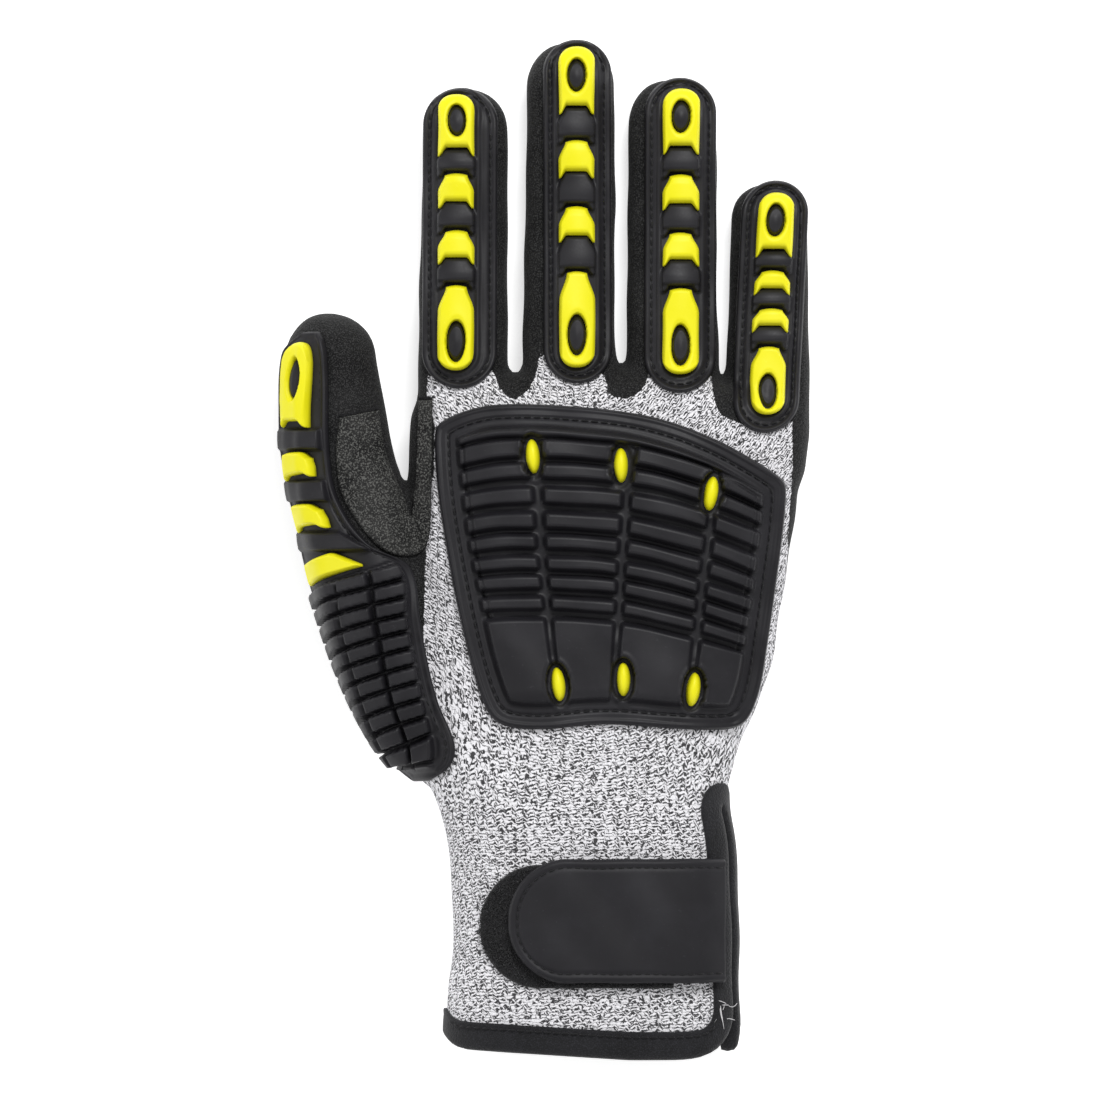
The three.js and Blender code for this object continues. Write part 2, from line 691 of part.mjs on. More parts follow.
function hemCut(lower = 0) {
  const stops = [-60, -36, -26, -10, 6, HEM.turn, 80];
  return planBlock([[80, -30], [-60, -30], ...stops.map((x) => [x, hemAt(x) + lower])], -20, 80);
}

const cuffCentre = palm.section(SLIT_LENGTH / 2, 0);

function slitAngles(wider = 0) {
  const around = (cuffCentre.half + cuffCentre.high) / 2;
  const half = (SLIT_WIDTH / 2 + wider) / around;
  const middle = THREE.MathUtils.degToRad(SLIT_ANGLE);
  return { upper: middle + half, lower: middle - half };
}

/** Direction from the middle of the cuff through its skin at a section angle. */
function cuffDirection(angle, at) {
  const section = palm.section(at, 0);
  const skin = sectionPoint(palm, at, angle, 0);
  return new THREE.Vector2(skin.x - section.x, skin.z - section.z);
}

function slitCut(wider = 0) {
  const { upper, lower } = slitAngles(wider);
  const rings = [-10, SLIT_LENGTH * 0.33, SLIT_LENGTH * 0.66, SLIT_LENGTH + wider].map((at) => {
    const section = palm.section(at, 0);
    const corners = [lower, upper].map((angle) => {
      const reach = cuffDirection(angle, at).multiplyScalar(1.3);
      return new THREE.Vector3(section.x + reach.x, at, section.z + reach.y);
    });
    return [new THREE.Vector3(section.x, at, section.z), ...corners];
  });
  return ringSolid(rings);
}

/** The form grown a little: what lies on it is cut to stay outside this. */
const clearForm = unionOf(members.map((member) => memberSolid(member, CLEAR, 0)));

/** A piece cut clear of the form, without loose offcuts. */
function cutClear(body) {
  const parts = body.subtract(clearForm).decompose();
  return parts.reduce((best, part) => (part.volume() > best.volume() ? part : best));
}

/** Block over one finger past the webs. */
function fingerBlock([left, right], grow) {
  const low = FINGER_SPLIT - grow;
  const high = LENGTH + 2 * WALL;
  return planBlock([[left, low], [right, low], [right, high], [left, high]], -10, 60);
}

const wall = handWall();
const knit = wall.subtract(coatedRegion(GAP)).subtract(hemCut()).subtract(slitCut());
const coating = wall.intersect(coatedRegion(0));
const pastWebs = unionOf(Object.values(FINGER_STRIPS).map((strip) => fingerBlock(strip, GAP)));
const thumbBlock = planBlock(growOutline(THUMB_SPLIT, GAP), -10, 60);
addPiece("knit_shell", knit.subtract(pastWebs), FINISH.knit, SMOOTH.cloth);
addPiece("coated_palm", coating.subtract(pastWebs).subtract(thumbBlock), FINISH.coating, SMOOTH.cloth);
addPiece("thumb_coating", coating.intersect(planBlock(THUMB_SPLIT, -10, 60)), FINISH.coating, SMOOTH.cloth);
for (const [name, strip] of Object.entries(FINGER_STRIPS)) {
  const block = fingerBlock(strip, 0);
  addPiece(`${name}_knit`, knit.intersect(block), FINISH.knit, SMOOTH.cloth);
  addPiece(`${name}_coating`, coating.intersect(block), FINISH.coating, SMOOTH.cloth);
}

// Rough patch between thumb and forefinger

{
  const stations = [0, 0.16, 0.32, 0.45, 0.55, 0.7, 0.85, 1];
  const grid = stations.map((share) => {
    const edge = alongEdge(PATCH_EDGE, share);
    const inside = alongEdge(PATCH_INSIDE, share);
    return [0, 0.5, 1].map((side) => skinOver(mix(edge.x, inside.x, side), mix(edge.y, inside.y, side)));
  });
  const slab = drapedSolid(grid, () => GAP, () => GAP + PATCH_THICK);
  addPiece("crotch_patch", cutClear(slab), FINISH.patch);
}

// Guards on the fingers

const GUARD_COLUMNS = [-1, -BEAD_FOOT, -BEAD, 0, BEAD, BEAD_FOOT, 1];
const STEP = 0.35; // half the length of a sloping end

/** Rows of a finger guard from tip to knuckle: y, half width and what stands there. */
function guardRows(guard) {
  const rows = [];
  const radius = guard.half;
  for (const angle of [22, 50]) {
    const turn = THREE.MathUtils.degToRad(angle);
    rows.push({ y: guard.top - radius * (1 - Math.cos(turn)), half: radius * Math.sin(turn), kind: "flange" });
  }
  guard.inserts.forEach(([from, to], i) => {
    const nearTip = guard.top - from;
    const half = i === 0 ? radius * Math.sqrt(1 - (1 - Math.min(1, (nearTip + 1.5) / radius)) ** 2) : radius;
    rows.push({ y: from + STEP, half, kind: i === 0 ? "flange" : "saddle" });
    rows.push({ y: from - STEP, half, kind: "seat" });
    if (i === 0) {
      rows.push({ y: guard.top - radius, half: radius, kind: "seat" });
    }
    if (i === 3) {
      rows.push({ y: guard.bottom + radius, half: radius, kind: "seat" });
    }
    const end = i === 3 ? radius * 0.9 : radius;
    rows.push({ y: to + STEP, half: end, kind: "seat" });
    rows.push({ y: to - STEP, half: end, kind: i === 3 ? "flange" : "saddle" });
  });
  for (const angle of [50, 22]) {
    const turn = THREE.MathUtils.degToRad(angle);
    rows.push({ y: guard.bottom + radius * (1 - Math.cos(turn)), half: radius * Math.sin(turn), kind: "flange" });
  }
  return rows.sort((a, b) => b.y - a.y);
}

function guardAxis(guard, y) {
  return mix(guard.bottomX, guard.topX, (y - guard.bottom) / (guard.top - guard.bottom));
}

/** Skin over a finger, with lines kept inside the finger at its tip. */
function fingerSkin(finger, x, y) {
  const reach = finger.tip - TIP_MARGIN;
  if (y <= reach) {
    return skinOver(x, y);
  }
  const skin = skinOver(x, reach);
  skin.point.y = y;
  return skin;
}

function guardGrid(guard, rows, columns, share) {
  const finger = FINGERS.find((item) => item.name === guard.name);
  return rows.map((row) => columns.map((column) => {
    const member = members[2 + FINGERS.indexOf(finger)];
    const section = member.section(Math.min(row.y, finger.tip - TIP_MARGIN), 0);
    const x = guardAxis(guard, row.y) + column * row.half * share;
    const limit = row.y < guard.bottom + guard.half ? WIDTH : SIDE_LIMIT * section.half;
    const kept = THREE.MathUtils.clamp(x, section.x - limit, section.x + limit);
    const skin = fingerSkin(finger, kept, row.y);
    skin.point.x = x;
    return skin;
  }));
}

const HUMP_LIFT = {
  flange: [FLANGE, FLANGE, FLANGE],
  seat: [FLANGE, SEAT, SEAT],
  saddle: [FLANGE, SADDLE - 0.5, SADDLE],
};

function guardLift(kind, column) {
  const [edge, shoulder, middle] = HUMP_LIFT[kind];
  const side = Math.abs(column);
  if (side > BEAD) {
    return GAP + edge;
  }
  return GAP + (side > 0 ? shoulder : middle);
}

/** Rows of one insert: tip and knuckle ones are long, the others flare away from the tip. */
function insertRows(from, to, kind) {
  const flare = {
    tip: [[0, 0.5], [0.12, 0.85], [0.3, 1], [1, 1]],
    outer: [[0, 0.62], [0.35, 0.7], [0.6, 1], [1, 1]],
    inner: [[0, 0.62], [0.35, 0.7], [0.6, 1], [1, 1]],
    knuckle: [[0, 0.62], [0.2, 0.75], [0.32, 1], [0.88, 0.85], [1, 0.5]],
  }[kind];
  return flare.map(([share, half]) => ({ y: mix(from, to, share), half }));
}

const INSERT_COLUMNS = [-1, -0.65, 0.65, 1];
const THUMB_INSERT_COLUMNS = [1, 0.6, 0, -0.6, -1];
const INSERT_EDGE = 0.8;
const HOLE = { across: 2.5, along: 5.2 };

function insertSolid(grid) {
  const foot = () => GAP + SEAT + GAP;
  const head = (i, j) => {
    const end = i === 0 || i === grid.length - 1 ? INSERT_EDGE : 0;
    const side = j === 0 || j === grid[0].length - 1 ? INSERT_EDGE : 0;
    return GAP + CROWN - Math.max(end, side);
  };
  return drapedSolid(grid, foot, head);
}

for (const guard of FINGER_GUARDS) {
  const rows = guardRows(guard);
  const base = drapedSolid(
    guardGrid(guard, rows, GUARD_COLUMNS, 1),
    () => DRAPE,
    (i, j) => guardLift(rows[i].kind, GUARD_COLUMNS[j]),
    4,
  );
  addPiece(`${guard.name}_guard`, cutClear(base), FINISH.guard);
  INSERT_NAMES.forEach((part, i) => {
    const [from, to] = guard.inserts[i];
    const rowsHere = insertRows(from - STEP, to + STEP, part).map((row) => ({ ...row, half: row.half * guard.half }));
    let body = insertSolid(guardGrid(guard, rowsHere, INSERT_COLUMNS, BEAD));
    if (part === "tip" || part === "knuckle") {
      const y = mix(from, to, part === "tip" ? 0.5 : 0.58);
      const long = Math.min(HOLE.along, (from - to) * 0.32);
      const skin = skinOver(guardAxis(guard, y), y);
      body = body.subtract(ovalPlug(skin.point, UP, HOLE.across, long, 12, 1, 0));
    }
    addPiece(`${guard.name}_insert_${part}`, body, FINISH.insert);
  });
}

// Guard on the thumb

function fanSkin(y, share, reach) {
  const row = (key) => readColumn([...THUMB_FAN_ROWS].reverse(), key, y);
  const inner = reach ? reach.inner : row("inner");
  const outer = reach ? reach.outer : row("outer");
  const angle = THREE.MathUtils.degToRad(mix(inner, outer, share));
  const origin = new THREE.Vector3(row("x"), y, THUMB_FAN_HIGH);
  return skinAt(origin, new THREE.Vector3(-Math.sin(angle), 0, Math.cos(angle)));
}

/** Where a direction angle falls across the guard at this y. */
function fanShare(y, angle) {
  const row = (key) => readColumn([...THUMB_FAN_ROWS].reverse(), key, y);
  return (angle - row("inner")) / (row("outer") - row("inner"));
}

function thumbRows() {
  const rows = [
    { y: THUMB_GUARD_TOP, kind: "flange" },
    { y: THUMB_GUARD_TOP - THUMB_EASE, kind: "flange" },
  ];
  THUMB_INSERTS.forEach((insert, i) => {
    rows.push({ y: insert.from + STEP, kind: i === 0 ? "flange" : "saddle", insert });
    rows.push({ y: insert.from - STEP, kind: "seat", insert });
    rows.push({ y: insert.to + STEP, kind: "seat", insert });
    rows.push({ y: insert.to - STEP, kind: "saddle", insert });
  });
  const pitch = (THUMB_RIBS.from - THUMB_RIBS.to) / THUMB_RIBS.count;
  for (let i = 0; i < THUMB_RIBS.count; i += 1) {
    const y = THUMB_RIBS.from - i * pitch;
    rows.push({ y, kind: "groove" });
    rows.push({ y: y - 0.3 * pitch, kind: "rib" });
    rows.push({ y: y - 0.75 * pitch, kind: "rib" });
  }
  rows.push({ y: THUMB_RIBS.to - 0.5, kind: "groove" });
  rows.push({ y: THUMB_GUARD_END, kind: "flange" });
  return rows;
}

{
  const rows = thumbRows();
  const ribbed = (row) => row.kind === "rib" || row.kind === "groove";
  const grid = rows.map((row) => THUMB_COLUMNS.map((column) => {
    const share = ribbed(row) || !row.insert ? column : bendColumn(row, column);
    const tilt = ribbed(row) ? THUMB_RIBS.rise * (0.5 - share) : 0;
    const nearEnd = (row.y - THUMB_GUARD_END) / THUMB_SETTLE.end;
    const nearRibs = Math.max(0, (THUMB_RIBS.from + THUMB_SETTLE.top - row.y) / THUMB_SETTLE.top);
    const settle = Math.min(1, nearEnd, nearRibs);
    return fanSkin(row.y + tilt * settle, share);
  }));
  const heights = {
    flange: [FLANGE, FLANGE],
    seat: [FLANGE, SEAT],
    saddle: [FLANGE, SADDLE - 0.4],
    groove: [FLANGE, SEAT],
    rib: [FLANGE, THUMB_RIBS.high],
  };
  const lift = (i, j) => {
    const raised = j >= 2 && j <= 4;
    const outerTeeth = rows[i].kind === "rib" && j > 4;
    const [edge, middle] = heights[rows[i].kind];
    return GAP + (raised ? middle : edge + (outerTeeth ? 1.2 : 0));
  };
  addPiece("thumb_guard", cutClear(drapedSolid(grid, () => DRAPE, lift, 6)), FINISH.guard);
}

/** Columns of the thumb guard keep its raised middle under the inserts. */
function bendColumn(row, column) {
  const from = fanShare(row.y, row.insert.inner - 2);
  const to = fanShare(row.y, row.insert.outer + 2);
  const first = THUMB_COLUMNS[2];
  const last = THUMB_COLUMNS[4];
  if (column < first) {
    return column * (from / first);
  }
  if (column > last) {
    return 1 - (1 - column) * ((1 - to) / (1 - last));
  }
  return mix(from, to, (column - first) / (last - first));
}

THUMB_INSERTS.forEach((insert) => {
  const middle = (insert.inner + insert.outer) / 2;
  const half = (insert.outer - insert.inner) / 2;
  const kind = insert.name === "base" ? "inner" : insert.name;
  const grid = insertRows(insert.from - STEP, insert.to + STEP, kind).map((row) => (
    THUMB_INSERT_COLUMNS.map((column) => {
      const reach = insert.name === "base" ? Math.max(row.half, 0.85) : row.half;
      const angle = middle - column * half * reach;
      return fanSkin(row.y, 0, { inner: angle, outer: angle });
    })
  ));
  let body = insertSolid(grid);
  if (insert.name === "tip") {
    const y = mix(insert.from, insert.to, 0.5);
    const skin = fanSkin(y, 0, { inner: middle, outer: middle });
    const turn = THREE.MathUtils.degToRad(middle);
    const out = new THREE.Vector3(-Math.sin(turn), 0, Math.cos(turn));
    body = body.subtract(ovalPlug(skin.point, out, HOLE.across, HOLE.along, 12, 1, 0));
  }
  addPiece(`thumb_insert_${insert.name}`, body, FINISH.insert);
});

// Ribbed plate on the back of the hand

/** Plan point of the plate: across from the thumb side, down from the knuckles. */
function platePoint(across, down) {
  const top = alongEdge(PLATE_TOP, across);
  const bottom = alongEdge(PLATE_BOTTOM, across);
  const left = alongEdge(PLATE_LEFT, down);
  const right = alongEdge(PLATE_RIGHT, down);
  const [tl, tr] = [PLATE_LEFT[0], PLATE_RIGHT[0]];
  const [bl, br] = [PLATE_LEFT[PLATE_LEFT.length - 1], PLATE_RIGHT[PLATE_RIGHT.length - 1]];
  const blend = (key, i) => (
    mix(top[key], bottom[key], down) + mix(left[key], right[key], across)
    - mix(mix(tl[i], tr[i], across), mix(bl[i], br[i], across), down)
  );
  return new THREE.Vector2(blend("x", 0), blend("y", 1));
}

function plateRows() {
  const rows = [[0, "flange"], [0.052, "flange"], [0.078, "rim"], [0.128, "rim"], [0.138, "floor"]];
  for (const rib of PLATE_RIBS) {
    rows.push([rib - PLATE_RIB_HALF, "rib"], [rib + PLATE_RIB_HALF, "rib"], [rib + 0.033, "floor"]);
  }
  rows.push([0.668, "pad"], [0.8, "pad"], [0.925, "pad"], [0.948, "flange"], [1, "flange"]);
  return rows.map(([at, kind]) => ({ at, kind }));
}

function plateColumns() {
  const columns = [[0, "flange"], [0.055, "flange"], [0.085, "full"]];
  for (const gap of PLATE_GAPS) {
    columns.push([gap - PLATE_GAP_HALF, "full"], [gap, "gap"], [gap + PLATE_GAP_HALF, "full"]);
  }
  columns.push([0.915, "full"], [0.945, "flange"], [1, "flange"]);
  return columns.map(([at, kind]) => ({ at, kind }));
}

const PLATE_LIFT = { rim: PLATE_RIM, floor: PLATE_FLOOR, rib: PLATE_RIB, pad: PLATE_PAD, flange: FLANGE };

/** Skin under a plan point of the plate, which lies flat past the shoulder of the palm. */
function plateSkin(point) {
  const section = palm.section(point.y, 0);
  const limit = PLATE_LIMIT * section.half;
  const kept = THREE.MathUtils.clamp(point.x, section.x - limit, section.x + limit);
  const skin = skinOver(kept, point.y);
  skin.point.x = point.x;
  return skin;
}

function plateSolid() {
  const rows = plateRows();
  const columns = plateColumns();
  const plan = rows.map((row) => columns.map((column) => platePoint(column.at, row.at)));
  const lastRow = rows.length - 1;
  const lastColumn = columns.length - 1;
  for (const [i, j] of [[0, 0], [0, lastColumn], [lastRow, 0], [lastRow, lastColumn]]) {
    const beside = plan[i][j === 0 ? 1 : lastColumn - 1];
    const along = plan[i === 0 ? 1 : lastRow - 1][j];
    plan[i][j] = beside.clone().add(along).multiplyScalar(0.5);
  }
  const grid = plan.map((line) => line.map(plateSkin));
  const lift = (i, j) => {
    const row = rows[i].kind;
    const column = columns[j].kind;
    if (row === "flange" || column === "flange") {
      return GAP + FLANGE;
    }
    const cut = column === "gap" && row !== "rim";
    return GAP + (cut ? Math.min(PLATE_GROOVE, PLATE_LIFT[row]) : PLATE_LIFT[row]);
  };
  return cutClear(drapedSolid(grid, () => PLATE_DRAPE, lift, 6));
}

{
  const feet = OVALS.map((oval) => {
    const skin = skinOver(oval.x, oval.y);
    const foot = skin.point.clone().addScaledVector(skin.lift, GAP + FLANGE);
    return { oval, foot, lift: skin.lift };
  });
  const pockets = feet.map(({ oval, foot, lift }) => ovalPlug(
    foot, lift, OVAL.short + OVAL.recess, OVAL.long + OVAL.recess, 8, 1.05, oval.lean,
  ));
  addPiece("back_guard", pockets.reduce((plate, pocket) => plate.subtract(pocket), plateSolid()), FINISH.guard);
  feet.forEach(({ oval, foot, lift }, i) => {
    const seat = foot.clone().addScaledVector(lift, GAP);
    const plug = ovalPlug(seat, lift, OVAL.short, OVAL.long, 3.2, 0.72, oval.lean);
    addPiece(`back_insert_${i + 1}`, plug, FINISH.insert);
  });
}

// Binding round the hem and the side slit

/** Stations on the cloth edge: section angle, y, and which way the cloth lies from the edge. */
function bindingPath() {
  const { upper, lower } = slitAngles();
  const turn = 2 * Math.PI;
  const climb = [0.98, 0.8, 0.6, 0.4, 0.2];
  const corner = HEM.low + 1.2;
  const path = [{ angle: (upper + lower) / 2, at: SLIT_LENGTH, side: 0, up: 1 }];
  for (const share of climb) {
    path.push({ angle: upper, at: mix(HEM.corner, SLIT_LENGTH, share), side: 1, up: share > 0.9 ? 0.6 : 0 });
  }
  path.push({ angle: upper, at: corner, side: 0.8, up: 0.6 });
  for (let j = 0; j <= PALM_SEGMENTS.outer; j += 1) {
    const angle = (j * turn) / PALM_SEGMENTS.outer;
    if (angle > upper + 0.1 && angle < lower + turn - 0.1) {
      path.push({ angle, at: hemAt(sectionPoint(palm, 3, angle, 0).x), side: 0, up: 1 });
    }
  }
  path.push({ angle: lower + turn, at: corner, side: -0.8, up: 0.6 });
  for (const share of [...climb].reverse()) {
    const up = share > 0.9 ? 0.6 : 0;
    path.push({ angle: lower + turn, at: mix(HEM.corner, SLIT_LENGTH, share), side: -1, up });
  }
  return path;
}

/** Channel folded over the edge: outer layer, fold and inner layer. */
function bindingSolid() {
  const rings = bindingPath().map(({ angle, at, side, up }) => {
    const here = sectionPoint(palm, at, angle, 0);
    const pace = sectionPoint(palm, at, angle + 0.05, 0).distanceTo(here) / 0.05;
    const place = (rise, reach) => sectionPoint(palm, at + reach * up, angle + (reach * side) / pace, rise);
    const under = -1.2 * WALL - TAPE_RISE;
    return [
      place(TAPE_RISE + TAPE, TAPE_WIDTH), place(TAPE_RISE + TAPE, -GAP),
      place(-WALL / 2, -GAP - TAPE), place(under - TAPE, -GAP), place(under - TAPE, TAPE_WIDTH),
      place(under, TAPE_WIDTH), place(under, -GAP), place(TAPE_RISE, -GAP), place(TAPE_RISE, TAPE_WIDTH),
    ];
  });
  return ringSolid(rings, true);
}

/** The cloth of the cuff made thicker all over, to cut the binding clear of it. */
function thickCuff() {
  const outer = memberSolid(palm, CLEAR, 0);
  const inner = memberSolid(palm, -WALL - CLEAR, 4);
  return outer.subtract(inner).subtract(hemCut(-CLEAR)).subtract(slitCut(-CLEAR));
}

const binding = bindingSolid().subtract(thickCuff()).subtract(floorCut(0));
addPiece("cuff_binding", binding, FINISH.tape, SMOOTH.cloth);

// Closure patch and strap

/** Rows of a band laid across the cuff with a round end toward the thumb. */
function bandGrid(band) {
  const middle = (band.low + band.high) / 2;
  const half = (band.high - band.low) / 2;
  const round = [12, 35, 62, 90].map((angle) => {
    const turn = THREE.MathUtils.degToRad(angle);
    return { x: band.left + band.corner * (1 - Math.cos(turn)), half: half * (1 - (1 - Math.sin(turn)) * band.corner / half) };
  });
  const start = band.left + band.corner;
  const straight = [0.25, 0.5, 0.68, 0.8, 0.9, 1].map((share) => ({ x: mix(start, band.right, share), half }));
  return [...round, ...straight].map((row) => (
    [-1, -0.5, 0.5, 1].map((side) => skinOverCuff(row.x, middle + side * row.half))
  ));
}

function skinOverCuff(x, y) {
  return skinAt(new THREE.Vector3(x, y, DEPTH / 2 - SINK), UP);
}

const loopSlab = drapedSolid(bandGrid(LOOP), () => LOOP.lift, () => LOOP.lift + LOOP_THICK);
addPiece("loop_patch", cutClear(loopSlab), FINISH.pile);
const strapSlab = drapedSolid(bandGrid(STRAP), () => STRAP.lift, () => STRAP.lift + STRAP_THICK);
addPiece("strap", strapSlab, FINISH.strap);

// Origin under the middle of the whole glove

const box = new THREE.Box3().setFromObject(glove);
for (const piece of glove.children) {
  piece.geometry.translate(-(box.min.x + box.max.x) / 2, -(box.min.y + box.max.y) / 2, -box.min.z);
}

export default glove;
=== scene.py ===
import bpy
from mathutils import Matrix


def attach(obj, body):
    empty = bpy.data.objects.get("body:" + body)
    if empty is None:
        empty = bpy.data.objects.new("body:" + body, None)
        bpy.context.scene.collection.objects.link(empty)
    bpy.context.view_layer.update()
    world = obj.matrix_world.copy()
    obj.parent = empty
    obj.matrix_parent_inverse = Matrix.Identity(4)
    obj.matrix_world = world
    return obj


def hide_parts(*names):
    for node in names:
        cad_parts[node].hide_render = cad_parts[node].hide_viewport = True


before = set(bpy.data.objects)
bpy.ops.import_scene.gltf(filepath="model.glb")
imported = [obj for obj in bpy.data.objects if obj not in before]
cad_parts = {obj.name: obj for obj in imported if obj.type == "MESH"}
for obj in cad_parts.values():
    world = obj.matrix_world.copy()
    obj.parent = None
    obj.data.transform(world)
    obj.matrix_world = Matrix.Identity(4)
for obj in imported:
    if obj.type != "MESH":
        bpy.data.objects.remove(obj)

"""Looks of an impact glove that lies palm down: knit, dipped cloth, moulded rubber and closure."""

import logging
import math
from dataclasses import dataclass, field
from enum import Enum

import bpy
import numpy as np
from mathutils import Vector

log = logging.getLogger("glove")

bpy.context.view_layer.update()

# Sizes in mm in the glove's own plan: x to the little finger, y from the hem to the fingertips

CENTRE = np.array([0.937, 132.729, 0.0])  # the frame's origin in that plan
LENGTH = 265.7
WIDTH = 140.0
DEPTH = 35.0
WALL = 2.3
SINK = 0.8
GAP = 0.35

Array = np.ndarray


class Finish(Enum):
    """Names of the finishes of the pieces."""

    KNIT = "knit"
    PATCH = "patch"
    GUARD = "guard"
    INSERT = "insert"
    TAPE = "tape"
    PILE = "pile"
    STRAP = "strap"


def mix(a, b, share):
    """Value between two others."""
    return a + (b - a) * share


def smooth(low, high, value) -> Array:
    """Smooth rise from 0 to 1 between two limits."""
    t = np.clip((np.asarray(value, float) - low) / (high - low), 0.0, 1.0)
    return t * t * (3.0 - 2.0 * t)


def bump(value, middle, half, soft) -> Array:
    """Plateau of 1 round a middle, falling to 0 over a soft edge."""
    return 1.0 - smooth(half, half + soft, np.abs(np.asarray(value, float) - middle))


def hermite(stations: Array, values: Array, at: Array) -> Array:
    """Values at stations on a smooth curve through a table.

    Args:
        stations: rising stations of the table.
        values: one value for each station.
        at: where to read it.

    Returns:
        The value at each place, held past both ends.
    """
    stations = np.asarray(stations, float)
    values = np.asarray(values, float)
    at = np.clip(np.asarray(at, float), stations[0], stations[-1])
    last = len(stations) - 1
    k = np.clip(np.searchsorted(stations, at, side="right") - 1, 0, last - 1)
    before = np.maximum(np.arange(last + 1) - 1, 0)
    after = np.minimum(np.arange(last + 1) + 1, last)
    slope = (values[after] - values[before]) / (stations[after] - stations[before])
    span = stations[k + 1] - stations[k]
    t = (at - stations[k]) / span
    rise = t * t * (3.0 - 2.0 * t)
    start = t * (1.0 - t) ** 2
    end = -t * t * (1.0 - t)
    return values[k] * (1.0 - rise) + values[k + 1] * rise + span * (slope[k] * start + slope[k + 1] * end)


def spline(points, shares) -> Array:
    """Points on a uniform Catmull-Rom curve through others, at shares from 0 to 1."""
    pts = np.asarray(points, float)
    place = np.clip(np.asarray(shares, float), 0.0, 1.0) * (len(pts) - 1)
    k = np.clip(place.astype(int), 0, len(pts) - 2)
    t = (place - k)[..., None]
    p0 = pts[np.maximum(k - 1, 0)]
    p1 = pts[k]
    p2 = pts[k + 1]
    p3 = pts[np.minimum(k + 2, len(pts) - 1)]
    v0 = (p2 - p0) * 0.5
    v1 = (p3 - p1) * 0.5
    return (2 * p1 - 2 * p2 + v0 + v1) * t ** 3 + (-3 * p1 + 3 * p2 - 2 * v0 - v1) * t ** 2 + v0 * t + p1


def resample(path: Array, pitch: float, closed: bool = False) -> Array:
    """Points at an even pitch along a path."""
    pts = np.asarray(path, float)
    if closed:
        pts = np.vstack([pts, pts[:1]])
    steps = np.linalg.norm(np.diff(pts, axis=0), axis=1)
    along = np.concatenate([[0.0], np.cumsum(steps)])
    count = max(2, int(round(along[-1] / pitch)))
    at = np.linspace(0.0, along[-1], count + 1)
    if closed:
        at = at[:-1]
    return np.stack([np.interp(at, along, pts[:, i]) for i in range(pts.shape[1])], axis=1)


def side_of_path(points: Array, path: Array) -> tuple[Array, Array, Array]:
    """Distance from plan points to an open path, its share along, and the side.

    Args:
        points: plan points, one per row.
        path: plan points of the path.

    Returns:
        Distance, length along the path, and +1 where the point is left of it.
    """
    best = np.full(len(points), 1e9)
    along = np.zeros(len(points))
    side = np.ones(len(points))
    run = 0.0
    for a, b in zip(path[:-1], path[1:]):
        ab = b - a
        long = float(np.hypot(*ab))
        if long < 1e-9:
            continue
        rel = points - a
        t = np.clip((rel @ ab) / (long * long), 0.0, 1.0)
        away = rel - t[:, None] * ab
        distance = np.hypot(away[:, 0], away[:, 1])
        nearer = distance < best
        best = np.where(nearer, distance, best)
        along = np.where(nearer, run + t * long, along)
        cross = ab[0] * rel[:, 1] - ab[1] * rel[:, 0]
        side = np.where(nearer, np.where(cross >= 0, 1.0, -1.0), side)
        run += long
    return best, along, side


def inside_distance(points: Array, outline: Array) -> Array:
    """Distance to a closed plan outline, above zero inside it."""
    ring = np.vstack([outline, outline[:1]])
    distance, _, _ = side_of_path(points, ring)
    x, y = points[:, 0], points[:, 1]
    inside = np.zeros(len(points), bool)
    for (ax, ay), (bx, by) in zip(ring[:-1], ring[1:]):
        crosses = (ay > y) != (by > y)
        if abs(by - ay) < 1e-12:
            continue
        inside ^= crosses & (x < (bx - ax) * (y - ay) / (by - ay) + ax)
    return np.where(inside, distance, -distance)


# Soft form

PALM_TABLE = np.array([
    # share of length, left and right as shares of width, thickness as a share of depth, lift in mm
    (-0.020, -0.182, 0.340, 0.92, 2.1),
    (0.022, -0.182, 0.357, 0.94, 2.1),
    (0.075, -0.173, 0.358, 0.98, 1.2),
    (0.134, -0.163, 0.360, 1.00, 0.3),
    (0.178, -0.169, 0.357, 1.00, 0.0),
    (0.222, -0.178, 0.349, 0.98, 0.0),
    (0.256, -0.197, 0.340, 0.95, 0.0),
    (0.291, -0.228, 0.354, 0.92, 0.0),
    (0.335, -0.247, 0.386, 0.90, 0.0),
    (0.384, -0.255, 0.422, 0.88, 0.0),
    (0.442, -0.255, 0.444, 0.87, 0.0),
    (0.501, -0.252, 0.460, 0.86, 0.0),
    (0.560, -0.248, 0.474, 0.84, 0.0),
    (0.609, -0.245, 0.484, 0.80, 0.0),
    (0.638, -0.243, 0.489, 0.73, 0.0),
    (0.656, -0.238, 0.489, 0.62, 0.0),
    (0.668, -0.228, 0.480, 0.46, 0.0),
    (0.674, -0.210, 0.462, 0.26, 0.0),
])
THUMB_TABLE = np.array([
    # share of length, centre and width as shares of width, thickness as a share of depth, roll
    (0.268, -0.180, 0.060, 0.42, 10),
    (0.292, -0.200, 0.110, 0.62, 12),
    (0.325, -0.228, 0.160, 0.74, 15),
    (0.384, -0.262, 0.200, 0.78, 20),
    (0.442, -0.296, 0.215, 0.78, 25),
    (0.501, -0.328, 0.212, 0.75, 30),
    (0.560, -0.354, 0.205, 0.70, 34),
    (0.618, -0.380, 0.196, 0.66, 36),
    (0.677, -0.391, 0.176, 0.60, 36),
    (0.733, -0.393, 0.160, 0.56, 36),
])


@dataclass(frozen=True)
class FingerSize:
    """One finger in mm."""

    name: str
    root_x: float
    tip_x: float
    tip: float
    root_wide: float
    tip_wide: float
    root_high: float
    tip_high: float

    def axis(self, y) -> Array:
        """Middle of the finger at a station."""
        share = (np.asarray(y, float) - FINGER_ROOT) / (self.tip - FINGER_ROOT)
        return mix(self.root_x, self.tip_x, share)


